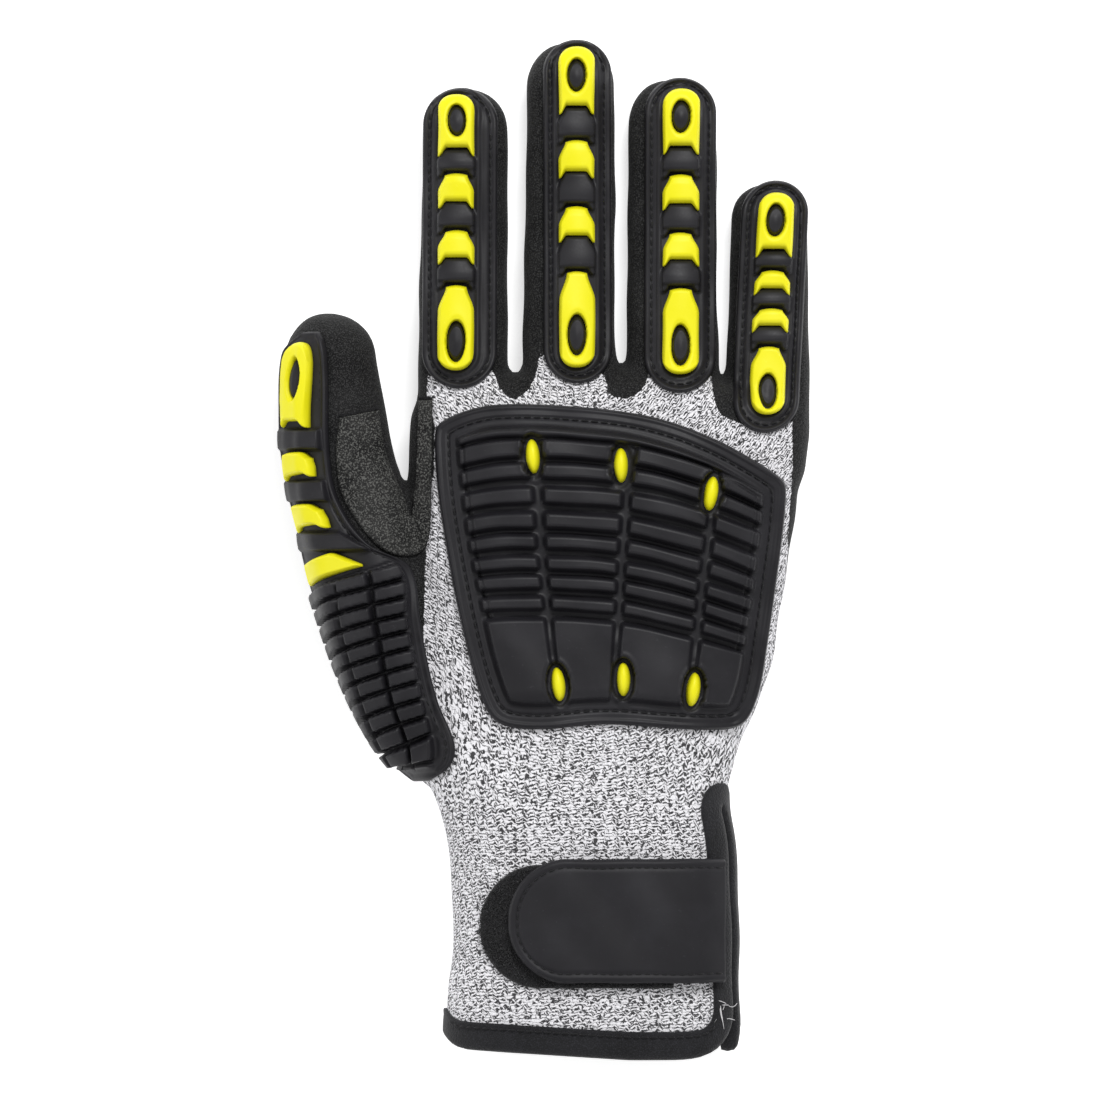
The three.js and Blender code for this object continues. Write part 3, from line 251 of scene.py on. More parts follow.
FINGER_ROOT = 0.585 * LENGTH
FINGERS = (
    FingerSize("index", -20.8, -19.8, 253.0, 24.0, 21.6, 22.5, 16.5),
    FingerSize("middle", 6.8, 7.6, 265.0, 24.6, 22.4, 23.5, 17.0),
    FingerSize("ring", 33.8, 33.9, 255.3, 24.2, 22.4, 22.5, 16.5),
    FingerSize("little", 58.6, 59.2, 228.4, 22.4, 19.4, 20.5, 15.5),
)


@dataclass
class SoftForm:
    """Distance field of the hand and cuff, in mm, with the palm pressed on the floor."""

    cell: float = 1.26
    blend: float = 3.2
    low: tuple = (-73.0, -7.0, -3.0)
    high: tuple = (73.0, 270.0, 38.0)
    web_fall: float = 5.5

    def build(self) -> None:
        """Fills the grid with the joined members and the floor."""
        self.low = np.array(self.low)
        self.count = np.ceil((np.array(self.high) - self.low) / self.cell).astype(int) + 1
        axes = [self.low[i] + self.cell * np.arange(self.count[i]) for i in range(3)]
        x, y, z = np.meshgrid(*axes, indexing="ij")
        parts = [self.palm(x, y, z), self.thumb(x, y, z)]
        parts += [self.finger(size, x, y, z) for size in FINGERS]
        joined = parts[0]
        for part in parts[1:]:
            near = np.clip(0.5 + 0.5 * (joined - part) / self.blend, 0.0, 1.0)
            joined = joined * (1.0 - near) + part * near - self.blend * near * (1.0 - near)
        floor = 0.05 - z
        press = 1.6
        near = np.clip(0.5 - 0.5 * (joined - floor) / press, 0.0, 1.0)
        joined = joined * (1.0 - near) + floor * near + press * near * (1.0 - near)
        sag = 0.30 * np.sin(x * 0.21 + 1.3) * np.sin(y * 0.115 + 0.4)
        sag += 0.18 * np.sin(x * 0.37 + y * 0.29 + 2.0)
        self.field = joined + sag * smooth(4.0, 12.0, z)
        self.slope = np.stack(np.gradient(self.field, self.cell), axis=-1)

    def distance(self, level: Array) -> Array:
        """Distance from a level whose surface is at 1."""
        gx, gy, gz = np.gradient(level, self.cell)
        steep = np.sqrt(gx * gx + gy * gy + gz * gz)
        return np.clip((level - 1.0) / np.maximum(steep, 0.02), -9.0, 14.0)

    def shape(self, u: Array, v: Array, half, high, power: float, cap: Array, tip_power: float) -> Array:
        """Level of a rounded section with a rounded end."""
        ring = (np.abs(u / half) ** power + np.abs(v / high) ** power) ** (tip_power / power)
        return (ring + cap ** tip_power) ** (1.0 / tip_power)

    def palm(self, x: Array, y: Array, z: Array) -> Array:
        """Field of the palm and cuff."""
        rows = PALM_TABLE
        side = np.maximum(0.0, x - 0.26 * WIDTH) / (0.24 * WIDTH)
        at = y
        for _ in range(4):
            share = np.clip((at / LENGTH - 0.56) / 0.10, 0.0, 1.0)
            at = y + self.web_fall * side * share
        share = at / LENGTH
        left = hermite(rows[:, 0], rows[:, 1], share) * WIDTH
        right = hermite(rows[:, 0], rows[:, 2], share) * WIDTH
        thick = hermite(rows[:15, 0], rows[:15, 3], share) * DEPTH
        lift = hermite(rows[:, 0], rows[:, 4], share)
        end = rows[-1, 0] * LENGTH
        cap = np.maximum(0.0, (at - (end - 13.0)) / 14.0)
        v = z - (thick / 2 - SINK + lift)
        level = self.shape(x - (left + right) / 2, v, (right - left) / 2, thick / 2, 2.6, cap, 2.6)
        return self.distance(level)

    def finger(self, size: FingerSize, x: Array, y: Array, z: Array) -> Array:
        """Field of one finger."""
        share = (y - FINGER_ROOT) / (size.tip - FINGER_ROOT)
        radius = size.tip_wide / 2
        cap = np.maximum(0.0, (y - (size.tip - radius)) / radius)
        waist = mix(0.86, 1.0, smooth(0.0, 0.2, share))
        wide = mix(size.root_wide, size.tip_wide, np.clip(share, 0, 1)) * waist
        high = mix(size.root_high, size.tip_high, np.clip(share * 1.6, 0, 1))
        droop = 0.8 + 0.2 * np.sqrt(np.clip(1 - cap ** 2, 0, 1))
        v = z - (high / 2 * droop - SINK)
        back = np.maximum(0.0, (FINGER_ROOT - y) / 8.0)
        middle = mix(size.root_x, size.tip_x, share)
        level = self.shape(x - middle, v, wide / 2, high / 2, 2.7, np.maximum(cap, back), 2.15)
        return self.distance(level)

    def thumb(self, x: Array, y: Array, z: Array) -> Array:
        """Field of the thumb, which is rolled toward the palm."""
        rows = THUMB_TABLE
        share = y / LENGTH
        read = [hermite(rows[:, 0], rows[:, k], share) for k in range(1, 5)]
        roll = np.radians(read[3])
        half = read[1] * WIDTH / 2
        high = read[2] * DEPTH / 2
        tip = 0.7325 * LENGTH
        radius = 0.075 * WIDTH
        cap = np.maximum(0.0, (y - (tip - radius)) / radius)
        back = np.maximum(0.0, (rows[1, 0] * LENGTH - y) / 8.0)
        stand = np.hypot(half * np.sin(roll), high * np.cos(roll))
        dx = x - read[0] * WIDTH
        dz = z - (stand * (0.85 + 0.15 * np.sqrt(np.clip(1 - cap ** 2, 0, 1))) - SINK)
        u = dx * np.cos(roll) + dz * np.sin(roll)
        v = dz * np.cos(roll) - dx * np.sin(roll)
        level = self.shape(u, v, half, high, 2.2, np.maximum(cap, back), 2.1)
        return self.distance(level)

    def sample(self, grid: Array, points: Array) -> Array:
        """Trilinear value of a grid at points in mm."""
        place = (points - self.low) / self.cell
        k = np.clip(np.floor(place).astype(int), 0, self.count - 2)
        t = np.clip(place - k, 0.0, 1.0)
        total = 0.0
        for i in (0, 1):
            for j in (0, 1):
                for n in (0, 1):
                    weight = (
                        (t[:, 0] if i else 1 - t[:, 0])
                        * (t[:, 1] if j else 1 - t[:, 1])
                        * (t[:, 2] if n else 1 - t[:, 2])
                    )
                    value = grid[k[:, 0] + i, k[:, 1] + j, k[:, 2] + n]
                    total = total + (weight[:, None] * value if value.ndim == 2 else weight * value)
        return total

    def level(self, points: Array) -> Array:
        """Distance at points, below zero inside."""
        return self.sample(self.field, points)

    def normal(self, points: Array) -> Array:
        """Direction out of the form at points."""
        slope = self.sample(self.slope, points)
        return slope / np.maximum(np.linalg.norm(slope, axis=1, keepdims=True), 1e-6)

    def exit_at(self, origin: Array, direction: Array, reach: float = 60.0) -> Array:
        """Points where rays from inside first leave the form.

        Args:
            origin: one start per ray.
            direction: unit directions.
            reach: longest ray in mm.

        Returns:
            One point per ray.
        """
        travel = np.zeros(len(origin))
        done = np.zeros(len(origin), bool)
        step = 0.8
        while not done.all() and travel.max() < reach:
            value = self.level(origin + direction * (travel + step)[:, None])
            done |= value > 0
            travel = np.where(done, travel, travel + step)
        low, high = travel, travel + step
        for _ in range(9):
            middle = (low + high) / 2
            inside = self.level(origin + direction * middle[:, None]) < 0
            low = np.where(inside, middle, low)
            high = np.where(inside, high, middle)
        return origin + direction * low[:, None]

    def over(self, plan: Array, start: float = 7.0) -> Array:
        """Points of the upper skin over plan points."""
        origin = np.column_stack([plan, np.full(len(plan), start)])
        up = np.tile([0.0, 0.0, 1.0], (len(plan), 1))
        return self.exit_at(origin, up)


# Meshes

def new_piece(name: str, points: Array, faces: list, node: str = "",
              also: tuple = ()) -> bpy.types.Object:
    """Mesh object in the frame from points in mm of the glove's plan.

    Args:
        name: name of the object.
        points: one point per row.
        faces: point indices of each face.
        node: CAD node that it replaces, if any.
        also: further CAD nodes that it replaces.

    Returns:
        The object, riding on the glove.
    """
    mesh = bpy.data.meshes.new(name)
    mesh.from_pydata(((points - CENTRE) / 1000.0).tolist(), [], faces)
    mesh.validate()
    mesh.polygons.foreach_set("use_smooth", np.ones(len(mesh.polygons), bool))
    mesh.update()
    piece = bpy.data.objects.new(name, mesh)
    bpy.context.scene.collection.objects.link(piece)
    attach(piece, "root")
    nodes = [n for n in (node, *also) if n]
    if nodes:
        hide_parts(*nodes)
    log.info("%s: %d faces", name, len(faces))
    return piece


def grid_faces(rows: int, columns: int, start: int, flip: bool) -> list:
    """Quads of a grid of points."""
    i, j = np.meshgrid(np.arange(rows - 1), np.arange(columns - 1), indexing="ij")
    a = (start + i * columns + j).ravel()
    quads = np.stack([a, a + 1, a + columns + 1, a + columns], axis=1)
    if flip:
        quads = quads[:, ::-1]
    return quads.tolist()


@dataclass
class Slab:
    """Closed sheet over a grid of skin points, with a height over each of them."""

    foot: Array
    lift: Array

    def points(self, high: Array, low) -> Array:
        """Top points, then bottom points."""
        top = self.foot + self.lift * high[..., None]
        under = self.foot + self.lift * (np.broadcast_to(low, high.shape))[..., None]
        return np.concatenate([top.reshape(-1, 3), under.reshape(-1, 3)])

    def faces(self) -> list:
        """Top, underside and the four sides."""
        rows, columns = self.foot.shape[:2]
        size = rows * columns
        around = [(0, j) for j in range(columns)]
        around += [(i, columns - 1) for i in range(1, rows)]
        around += [(rows - 1, j) for j in range(columns - 2, -1, -1)]
        around += [(i, 0) for i in range(rows - 2, 0, -1)]
        ring = [i * columns + j for i, j in around]
        top = grid_faces(rows, columns, 0, False)
        under = grid_faces(rows, columns, size, True)
        side = []
        for a, b in zip(ring, ring[1:] + ring[:1]):
            side.append([b, a, a + size, b + size])
        a, b, c = self.foot[0, 0], self.foot[0, 1], self.foot[1, 0]
        turn = float(np.dot(np.cross(b - a, c - a), self.lift[0, 0]))
        faces = top + under + side
        if turn < 0:
            faces = [face[::-1] for face in faces]
        return faces

    def build(self, name: str, high: Array, low, finish: Finish, node: str = "") -> bpy.types.Object:
        """Makes the piece."""
        piece = new_piece(name, self.points(high, low), self.faces(), node)
        return piece


def lay(form: SoftForm, plan: Array, settle: int = 6, clamp=None, lean: float = 1.0) -> Slab:
    """Slab footing on the skin over a grid of plan points.

    Args:
        form: the soft form.
        plan: rows by columns by x and y.
        settle: times that the footing is averaged with its neighbours.
        clamp: function that moves plan points back onto the form before they are looked up.
        lean: share of the skin's slope along the fingers that heights follow.

    Returns:
        The slab with no height yet.
    """
    shape = plan.shape[:2]
    flat = plan.reshape(-1, 2)
    found = form.over(flat if clamp is None else clamp(flat))
    normal = form.normal(found)
    foot = np.column_stack([flat, found[:, 2]]).reshape(*shape, 3)
    lift = (normal * [0.5, 0.5 * lean, 0.5] + [0.0, 0.0, 0.75]).reshape(*shape, 3)
    high = foot[..., 2].copy()
    for _ in range(settle):
        high = even(high)
        lift = np.stack([even(lift[..., k]) for k in range(3)], axis=-1)
    foot[..., 2] = np.maximum(high, foot[..., 2] - 0.15)
    lift /= np.linalg.norm(lift, axis=-1, keepdims=True)
    return Slab(foot, lift)


def even(values: Array) -> Array:
    """Each value with its neighbours in a grid, edges held."""
    out = values.copy()
    out[1:-1] = (values[:-2] + 2 * values[1:-1] + values[2:]) / 4
    again = out.copy()
    again[:, 1:-1] = (out[:, :-2] + 2 * out[:, 1:-1] + out[:, 2:]) / 4
    return again


def store(piece: bpy.types.Object, name: str, values: Array) -> None:
    """Keeps one number per point on a mesh."""
    attribute = piece.data.attributes.new(name, "FLOAT", "POINT")
    attribute.data.foreach_set("value", np.asarray(values, np.float32))


@dataclass
class Threads:
    """Short round threads gathered into one mesh."""

    sides: int = 6
    points: list = field(default_factory=list)
    faces: list = field(default_factory=list)

    def add(self, path: Array, radius: float, taper: float = 0.55) -> None:
        """Adds one thread along a path, thinner at its ends."""
        path = np.asarray(path, float)
        count = len(path)
        ahead = np.gradient(path, axis=0)
        ahead /= np.maximum(np.linalg.norm(ahead, axis=1, keepdims=True), 1e-9)
        flat = np.array([0.0, 0.0, 1.0])
        across = np.cross(ahead, flat)
        length = np.linalg.norm(across, axis=1, keepdims=True)
        across = np.where(length > 0.05, across / np.maximum(length, 1e-9), [1.0, 0.0, 0.0])
        upward = np.cross(across, ahead)
        start = len(self.points)
        for i in range(count):
            end = min(i, count - 1 - i)
            r = radius * (taper if end == 0 else 1.0)
            for k in range(self.sides):
                turn = 2 * math.pi * k / self.sides
                spot = path[i] + r * (math.cos(turn) * across[i] + math.sin(turn) * upward[i])
                self.points.append(spot)
        for i in range(count - 1):
            for k in range(self.sides):
                n = (k + 1) % self.sides
                a = start + i * self.sides
                b = a + self.sides
                self.faces.append([a + k, b + k, b + n, a + n])
        self.faces.append([start + k for k in range(self.sides)])
        last = start + (count - 1) * self.sides
        self.faces.append([last + k for k in range(self.sides)][::-1])

    def stitch(self, a: Array, b: Array, out: Array, radius: float, arch: float) -> None:
        """Adds a stitch from one hole to the next, arched over the surface."""
        steps = np.array([0.0, 0.2, 0.5, 0.8, 1.0])
        rise = np.array([-0.7, 0.55, 1.0, 0.55, -0.7]) * arch
        self.add(a + (b - a) * steps[:, None] + out * rise[:, None], radius)

    def build(self, name: str, finish: Finish) -> bpy.types.Object:
        """Makes the piece."""
        return new_piece(name, np.array(self.points), self.faces)


def surface_net(field_grid: Array, low: Array, cell: float) -> tuple[Array, list]:
    """Quads round the zero of a field.

    Args:
        field_grid: values on a grid, below zero inside.
        low: corner of the grid.
        cell: grid pitch.

    Returns:
        Points and faces.
    """
    inside = field_grid < 0
    shape = np.array(field_grid.shape) - 1
    total = np.zeros((*shape, 3))
    number = np.zeros(shape)
    corners = [(i, j, k) for i in (0, 1) for j in (0, 1) for k in (0, 1)]
    for a in corners:
        for axis in range(3):
            if a[axis]:
                continue
            b = list(a)
            b[axis] = 1
            cut_a = tuple(slice(a[n], a[n] + shape[n]) for n in range(3))
            cut_b = tuple(slice(b[n], b[n] + shape[n]) for n in range(3))
            va, vb = field_grid[cut_a], field_grid[cut_b]
            crosses = inside[cut_a] != inside[cut_b]
            t = np.where(crosses, va / np.where(crosses, va - vb, 1.0), 0.0)
            for n in range(3):
                spot = a[n] + (t if n == axis else 0.0)
                total[..., n] += np.where(crosses, spot, 0.0)
            number += crosses
    used = number > 0
    index = np.full(shape, -1)
    index[used] = np.arange(int(used.sum()))
    place = np.argwhere(used) + total[used] / number[used][:, None]
    points = low + place * cell
    faces = []
    for axis in range(3):
        o1, o2 = [(1, 2), (2, 0), (0, 1)][axis]
        near = [slice(1, shape[n]) for n in range(3)]
        near[axis] = slice(0, shape[axis])
        far = list(near)
        far[axis] = slice(1, shape[axis] + 1)
        here = inside[tuple(near)]
        there = inside[tuple(far)]
        for sign, hit in ((False, here & ~there), (True, ~here & there)):
            cells = np.argwhere(hit)
            cells[:, o1] += 1
            cells[:, o2] += 1
            quad = []
            for d1, d2 in ((0, 0), (-1, 0), (-1, -1), (0, -1)):
                c = cells.copy()
                c[:, o1] += d1
                c[:, o2] += d2
                quad.append(index[c[:, 0], c[:, 1], c[:, 2]])
            quads = np.stack(quad, axis=1)
            quads = quads[(quads >= 0).all(axis=1)]
            faces += (quads[:, ::-1] if sign else quads).tolist()
    return points, faces


# Materials

def tint(red: float, green: float, blue: float) -> tuple:
    """Linear colour from one given in 0 to 255 as on a screen."""
    def linear(value: float) -> float:
        share = value / 255.0
        return share / 12.92 if share <= 0.04045 else ((share + 0.055) / 1.055) ** 2.4
    return (linear(red), linear(green), linear(blue), 1.0)


class Graph:
    """Short calls that lay nodes into a shader tree."""

    def __init__(self, tree: bpy.types.NodeTree) -> None:
        """Keeps the tree."""
        self.tree = tree

    def node(self, kind: str, **settings) -> bpy.types.Node:
        """Adds a node with its settings."""
        made = self.tree.nodes.new(kind)
        for key, value in settings.items():
            setattr(made, key, value)
        return made

    def feed(self, socket: bpy.types.NodeSocket, value) -> None:
        """Links or sets one input."""
        if isinstance(value, bpy.types.NodeSocket):
            self.tree.links.new(value, socket)
        elif value is not None:
            socket.default_value = value

    def math(self, operation: str, a, b=None, c=None) -> bpy.types.NodeSocket:
        """One number from others."""
        made = self.node("ShaderNodeMath", operation=operation)
        for socket, value in zip(made.inputs, (a, b, c)):
            self.feed(socket, value)
        return made.outputs[0]

    def rise(self, value, low: float, high: float) -> bpy.types.NodeSocket:
        """Smooth rise from 0 to 1 between two limits."""
        made = self.node("ShaderNodeMapRange", interpolation_type="SMOOTHSTEP")
        for name, given in (("Value", value), ("From Min", low), ("From Max", high)):
            self.feed(made.inputs[name], given)
        return made.outputs["Result"]

    def blend(self, share, a, b) -> bpy.types.NodeSocket:
        """Colour between two others."""
        made = self.node("ShaderNodeMix", data_type="RGBA")
        self.feed(made.inputs[0], share)
        self.feed(made.inputs[6], a)
        self.feed(made.inputs[7], b)
        return made.outputs[2]

    def noise(self, scale, detail: float = 2.0, rough: float = 0.5, place=None) -> bpy.types.NodeSocket:
        """Noise at a scale per metre."""
        made = self.node("ShaderNodeTexNoise")
        self.feed(made.inputs["Vector"], place if place is not None else self.place())
        self.feed(made.inputs["Scale"], scale)
        self.feed(made.inputs["Detail"], detail)
        self.feed(made.inputs["Roughness"], rough)
        return made.outputs["Fac"]

    def place(self) -> bpy.types.NodeSocket:
        """Coordinates on the object in metres."""
        return self.node("ShaderNodeTexCoord").outputs["Object"]

    def kept(self, name: str) -> bpy.types.NodeSocket:
        """A number kept on the mesh."""
        return self.node("ShaderNodeAttribute", attribute_name=name).outputs["Fac"]

    def bumped(self, height, strength: float, distance: float, normal=None) -> bpy.types.NodeSocket:
        """Normal from a height."""
        made = self.node("ShaderNodeBump")
        self.feed(made.inputs["Height"], height)
        self.feed(made.inputs["Strength"], strength)
        self.feed(made.inputs["Distance"], distance)
        self.feed(made.inputs["Normal"], normal)
        return made.outputs["Normal"]

    def effect(self, group: bpy.types.NodeTree, **given) -> bpy.types.Node:
        """Adds a node group and sets its named inputs."""
        made = self.node("ShaderNodeGroup", node_tree=group)
        for name, value in given.items():
            self.feed(made.inputs[name.replace("_", " ").title()], value)
        return made


def start_group(name: str, inputs: dict, outputs: dict) -> tuple:
    """Empty shader group with named inputs and outputs.

    Args:
        name: name of the group.
        inputs: socket kind and first value by name.
        outputs: socket kind by name.

    Returns:
        The group, a graph on it, its input node and its output node.
    """
    group = bpy.data.node_groups.new(name, "ShaderNodeTree")
    for key, (kind, value) in inputs.items():
        made = group.interface.new_socket(key, in_out="INPUT", socket_type=kind)
        made.default_value = value
    for key, kind in outputs.items():
        group.interface.new_socket(key, in_out="OUTPUT", socket_type=kind)
    graph = Graph(group)
    return group, graph, graph.node("NodeGroupInput"), graph.node("NodeGroupOutput")


NUMBER = "NodeSocketFloat"
COLOUR = "NodeSocketColor"


class Effects:
    """Node groups that several materials use."""

    def __init__(self) -> None:
        """Builds each group."""
        self.grain = self.make_grain()
        self.wear = self.make_wear()
        self.knit = self.make_knit()

    def make_grain(self) -> bpy.types.NodeTree:
        """Granular skin: coarse lumps, fine sand and bright specks."""
        group, g, given, out = start_group(
            "Grain",
            {"Pitch": (NUMBER, 2000.0), "Base": (COLOUR, (0.02, 0.02, 0.02, 1)),
             "Fleck": (COLOUR, (0.1, 0.1, 0.1, 1)), "Flecks": (NUMBER, 0.3)},
            {"Color": COLOUR, "Height": NUMBER, "Roughness": NUMBER},
        )
        place = g.place()
        cells = g.node("ShaderNodeTexVoronoi", feature="SMOOTH_F1")
        g.feed(cells.inputs["Vector"], place)
        g.feed(cells.inputs["Scale"], given.outputs["Pitch"])
        cells.inputs["Smoothness"].default_value = 0.25
        lump = g.math("SUBTRACT", 1.0, cells.outputs["Distance"])
        fine = g.noise(g.math("MULTIPLY", given.outputs["Pitch"], 1.7), 2.0, 0.6, place)
        height = g.math("ADD", g.math("MULTIPLY", lump, 0.7), g.math("MULTIPLY", fine, 0.5))
        pick = g.rise(fine, 0.49, 0.62)
        share = g.math("MULTIPLY", pick, given.outputs["Flecks"])
        wide = g.noise(90.0, 3.0, 0.6, place)
        shade = g.blend(g.rise(wide, 0.3, 0.7), given.outputs["Base"], given.outputs["Fleck"])
        base = g.blend(0.12, given.outputs["Base"], shade)
        g.feed(out.inputs["Color"], g.blend(share, base, given.outputs["Fleck"]))
        g.feed(out.inputs["Height"], height)
        g.feed(out.inputs["Roughness"], g.math("ADD", 0.72, g.math("MULTIPLY", fine, 0.25)))
        return group

    def make_wear(self) -> bpy.types.NodeTree:
        """Slight mottling and dusty specks of moulded rubber; on the yellow rubber the second colour is a
        highlight tint, so there the mottling and specks are painted highlight.
        """
        group, g, given, out = start_group(
            "Rubber face",
            {"Base": (COLOUR, (0.04, 0.04, 0.04, 1)), "Dust": (COLOUR, (0.2, 0.2, 0.2, 1)),
             "Amount": (NUMBER, 0.1), "Rough": (NUMBER, 0.5)},
            {"Color": COLOUR, "Height": NUMBER, "Roughness": NUMBER},
        )
        place = g.place()
        wide = g.noise(60.0, 4.0, 0.6, place)
        fine = g.noise(1600.0, 3.0, 0.6, place)
        specks = g.rise(g.noise(900.0, 2.0, 0.5, place), 0.68, 0.76)
        # Pale patches and specks toward the second colour: dusty specks on black rubber, painted highlight on
        # the yellow rubber.
        share = g.math("MULTIPLY", g.math("ADD", g.rise(wide, 0.35, 0.75), specks), given.outputs["Amount"])
        g.feed(out.inputs["Color"], g.blend(share, given.outputs["Base"], given.outputs["Dust"]))
        swell = g.math("MULTIPLY", wide, 0.4)
        g.feed(out.inputs["Height"], g.math("ADD", swell, g.math("MULTIPLY", fine, 0.3)))
        haze = g.math("MULTIPLY", fine, 0.16)
        g.feed(out.inputs["Roughness"], g.math("ADD", given.outputs["Rough"], haze))
        return group

    def make_knit(self) -> bpy.types.NodeTree:
        """Marl knit: pale courses of slanted loops with dark dashes, and painted shade in the furrows between
        courses.
        """
        group, g, given, out = start_group(
            "Marl knit",
            {"Around": (NUMBER, 0.0), "Along": (NUMBER, 0.0), "Slant": (NUMBER, 0.25),
             "Light": (COLOUR, (0.8, 0.8, 0.8, 1)), "Dark": (COLOUR, (0.02, 0.02, 0.02, 1)),
             "Share": (NUMBER, 0.42)},
            {"Color": COLOUR, "Height": NUMBER},
        )
        place = g.place()
        sway = g.math("MULTIPLY", g.math("SUBTRACT", g.noise(240.0, 1.0, 0.5, place), 0.5), 1.3)
        curl = g.math("MULTIPLY", g.math("SUBTRACT", g.noise(900.0, 1.0, 0.5, place), 0.5), 0.9)
        tilt = g.math("MULTIPLY", given.outputs["Around"], given.outputs["Slant"])
        lift = g.math("ADD", g.math("ADD", given.outputs["Along"], tilt), g.math("ADD", sway, curl))
        course = g.math("DIVIDE", lift, 0.84)
        row = g.math("FLOOR", course)
        within = g.math("SUBTRACT", course, row)
        shift = g.node("ShaderNodeTexWhiteNoise", noise_dimensions="1D")
        g.feed(shift.inputs["W"], row)
        wander = g.math("ADD", given.outputs["Around"], g.math("MULTIPLY", curl, 1.2))
        across = g.math("ADD", g.math("DIVIDE", wander, 1.45), shift.outputs["Value"])
        loop = g.math("FLOOR", across)
        part = g.math("SUBTRACT", across, loop)
        pick = g.node("ShaderNodeTexWhiteNoise", noise_dimensions="2D")
        both = g.node("ShaderNodeCombineXYZ")
        g.feed(both.inputs[0], loop)
        g.feed(both.inputs[1], row)
        g.feed(pick.inputs["Vector"], both.outputs[0])
        turn = g.math("SUBTRACT", g.math("MULTIPLY", g.math("FLOORED_MODULO", loop, 2.0), 1.5), 0.35)
        lean = g.math("ADD", course, g.math("MULTIPLY", g.math("SUBTRACT", part, 0.5), turn))
        spot = g.node("ShaderNodeCombineXYZ")
        g.feed(spot.inputs[0], g.math("MULTIPLY", given.outputs["Around"], 0.82))
        g.feed(spot.inputs[1], g.math("MULTIPLY", lean, 1.35))
        marks = g.noise(1.0, 2.5, 0.62, spot.outputs[0])
        beat = g.math("COSINE", g.math("MULTIPLY", lean, 2 * math.pi))
        odd = g.math("SUBTRACT", pick.outputs["Value"], 0.5)
        stray = g.math("ADD", g.math("MULTIPLY", beat, 0.085), g.math("MULTIPLY", odd, 0.10))
        tone = g.math("ADD", marks, stray)
        limit = g.math("SUBTRACT", 1.0, given.outputs["Share"])
        dash = g.rise(g.math("SUBTRACT", tone, limit), -0.010, 0.020)
        hair = g.rise(g.noise(2300.0, 2.0, 0.6, place), 0.52, 0.66)
        gap = g.math("SUBTRACT", 1.0, g.rise(g.math("ABSOLUTE", g.math("SUBTRACT", within, 0.5)), 0.30, 0.5))
        stitch = g.math("ABSOLUTE", g.math("SINE", g.math("MULTIPLY", across, 5.2)))
        height = g.math("ADD", g.math("MULTIPLY", gap, 0.6), g.math("MULTIPLY", stitch, 0.4))
        # Painted shade: the colour darkens toward the dark yarn in the furrows between courses, where the
        # height sinks.
        furrow_shade = g.math("MULTIPLY", g.math("SUBTRACT", 1.0, gap), 0.22)
        shade = g.math("ADD", furrow_shade, g.math("MULTIPLY", hair, 0.20))
        pale = g.blend(shade, given.outputs["Light"], given.outputs["Dark"])
        g.feed(out.inputs["Color"], g.blend(g.math("MULTIPLY", dash, 0.93), pale, given.outputs["Dark"]))
        g.feed(out.inputs["Height"], height)
        return group


MOULD_GRAIN = 0.00012  # depth in metres of the grain of moulded rubber
WEAVE_DEPTH = 0.00028  # depth of the knit
SAND_DEPTH = 0.00022  # depth of the coating's grain


@dataclass(frozen=True)
class Look:
    """A finish made of the rubber or the grain effect."""

    name: str
    base: tuple
    second: tuple
    amount: float
    rough: float
    bump: float
    pitch: float = 0.0
    sheen: float = 0.0
    shine: float = 0.30

    def build(self, effects: Effects) -> bpy.types.Material:
        """Makes the material."""
        made = bpy.data.materials.new(self.name)
        made.use_nodes = True
        g = Graph(made.node_tree)
        shader = made.node_tree.nodes["Principled BSDF"]
        if self.pitch:
            skin = g.effect(effects.grain, pitch=self.pitch, base=self.base, fleck=self.second,
                            flecks=self.amount)
            distance = 0.5 / self.pitch
        else:
            skin = g.effect(effects.wear, base=self.base, dust=self.second, amount=self.amount,
                            rough=self.rough)
            distance = MOULD_GRAIN
        g.feed(shader.inputs["Base Color"], skin.outputs["Color"])
        g.feed(shader.inputs["Roughness"], skin.outputs["Roughness"])
        g.feed(shader.inputs["Normal"], g.bumped(skin.outputs["Height"], self.bump, distance))
        shader.inputs["Sheen Weight"].default_value = self.sheen
        shader.inputs["Specular IOR Level"].default_value = self.shine
        return made


GUARD_LOOK = Look("Guard rubber", tint(26, 25, 29), tint(78, 77, 82), 0.13, 0.42, 0.40)
# The yellow's second colour is a highlight tint, mixed in as patches and specks: painted highlight.
INSERT_LOOK = Look("Yellow rubber", tint(238, 231, 10), tint(252, 247, 84), 0.22, 0.40, 0.15)
STRAP_LOOK = Look("Strap rubber", tint(27, 26, 30), tint(62, 62, 68), 0.16, 0.48, 0.40)
THREAD_LOOK = Look("Black thread", tint(16, 16, 17), tint(48, 48, 52), 0.5, 0.8, 0.6, 5200.0, 0.1)
PATCH_LOOK = Look("Coarse grain", tint(8, 8, 9), tint(116, 116, 113), 0.64, 0.9, 1.0, 1300.0)
PILE_LOOK = Look("Loop pile", tint(10, 10, 11), tint(56, 56, 60), 0.4, 0.95, 0.9, 1500.0, 0.25)
TAPE_LOOK = Look("Binding tape", tint(15, 15, 17), tint(66, 66, 72), 0.3, 0.9, 0.8, 1900.0, 0.1)
WHITE_LOOK = Look("Pale thread", tint(214, 212, 214), tint(240, 238, 240), 0.3, 0.8, 0.4, 5200.0, 0.1)


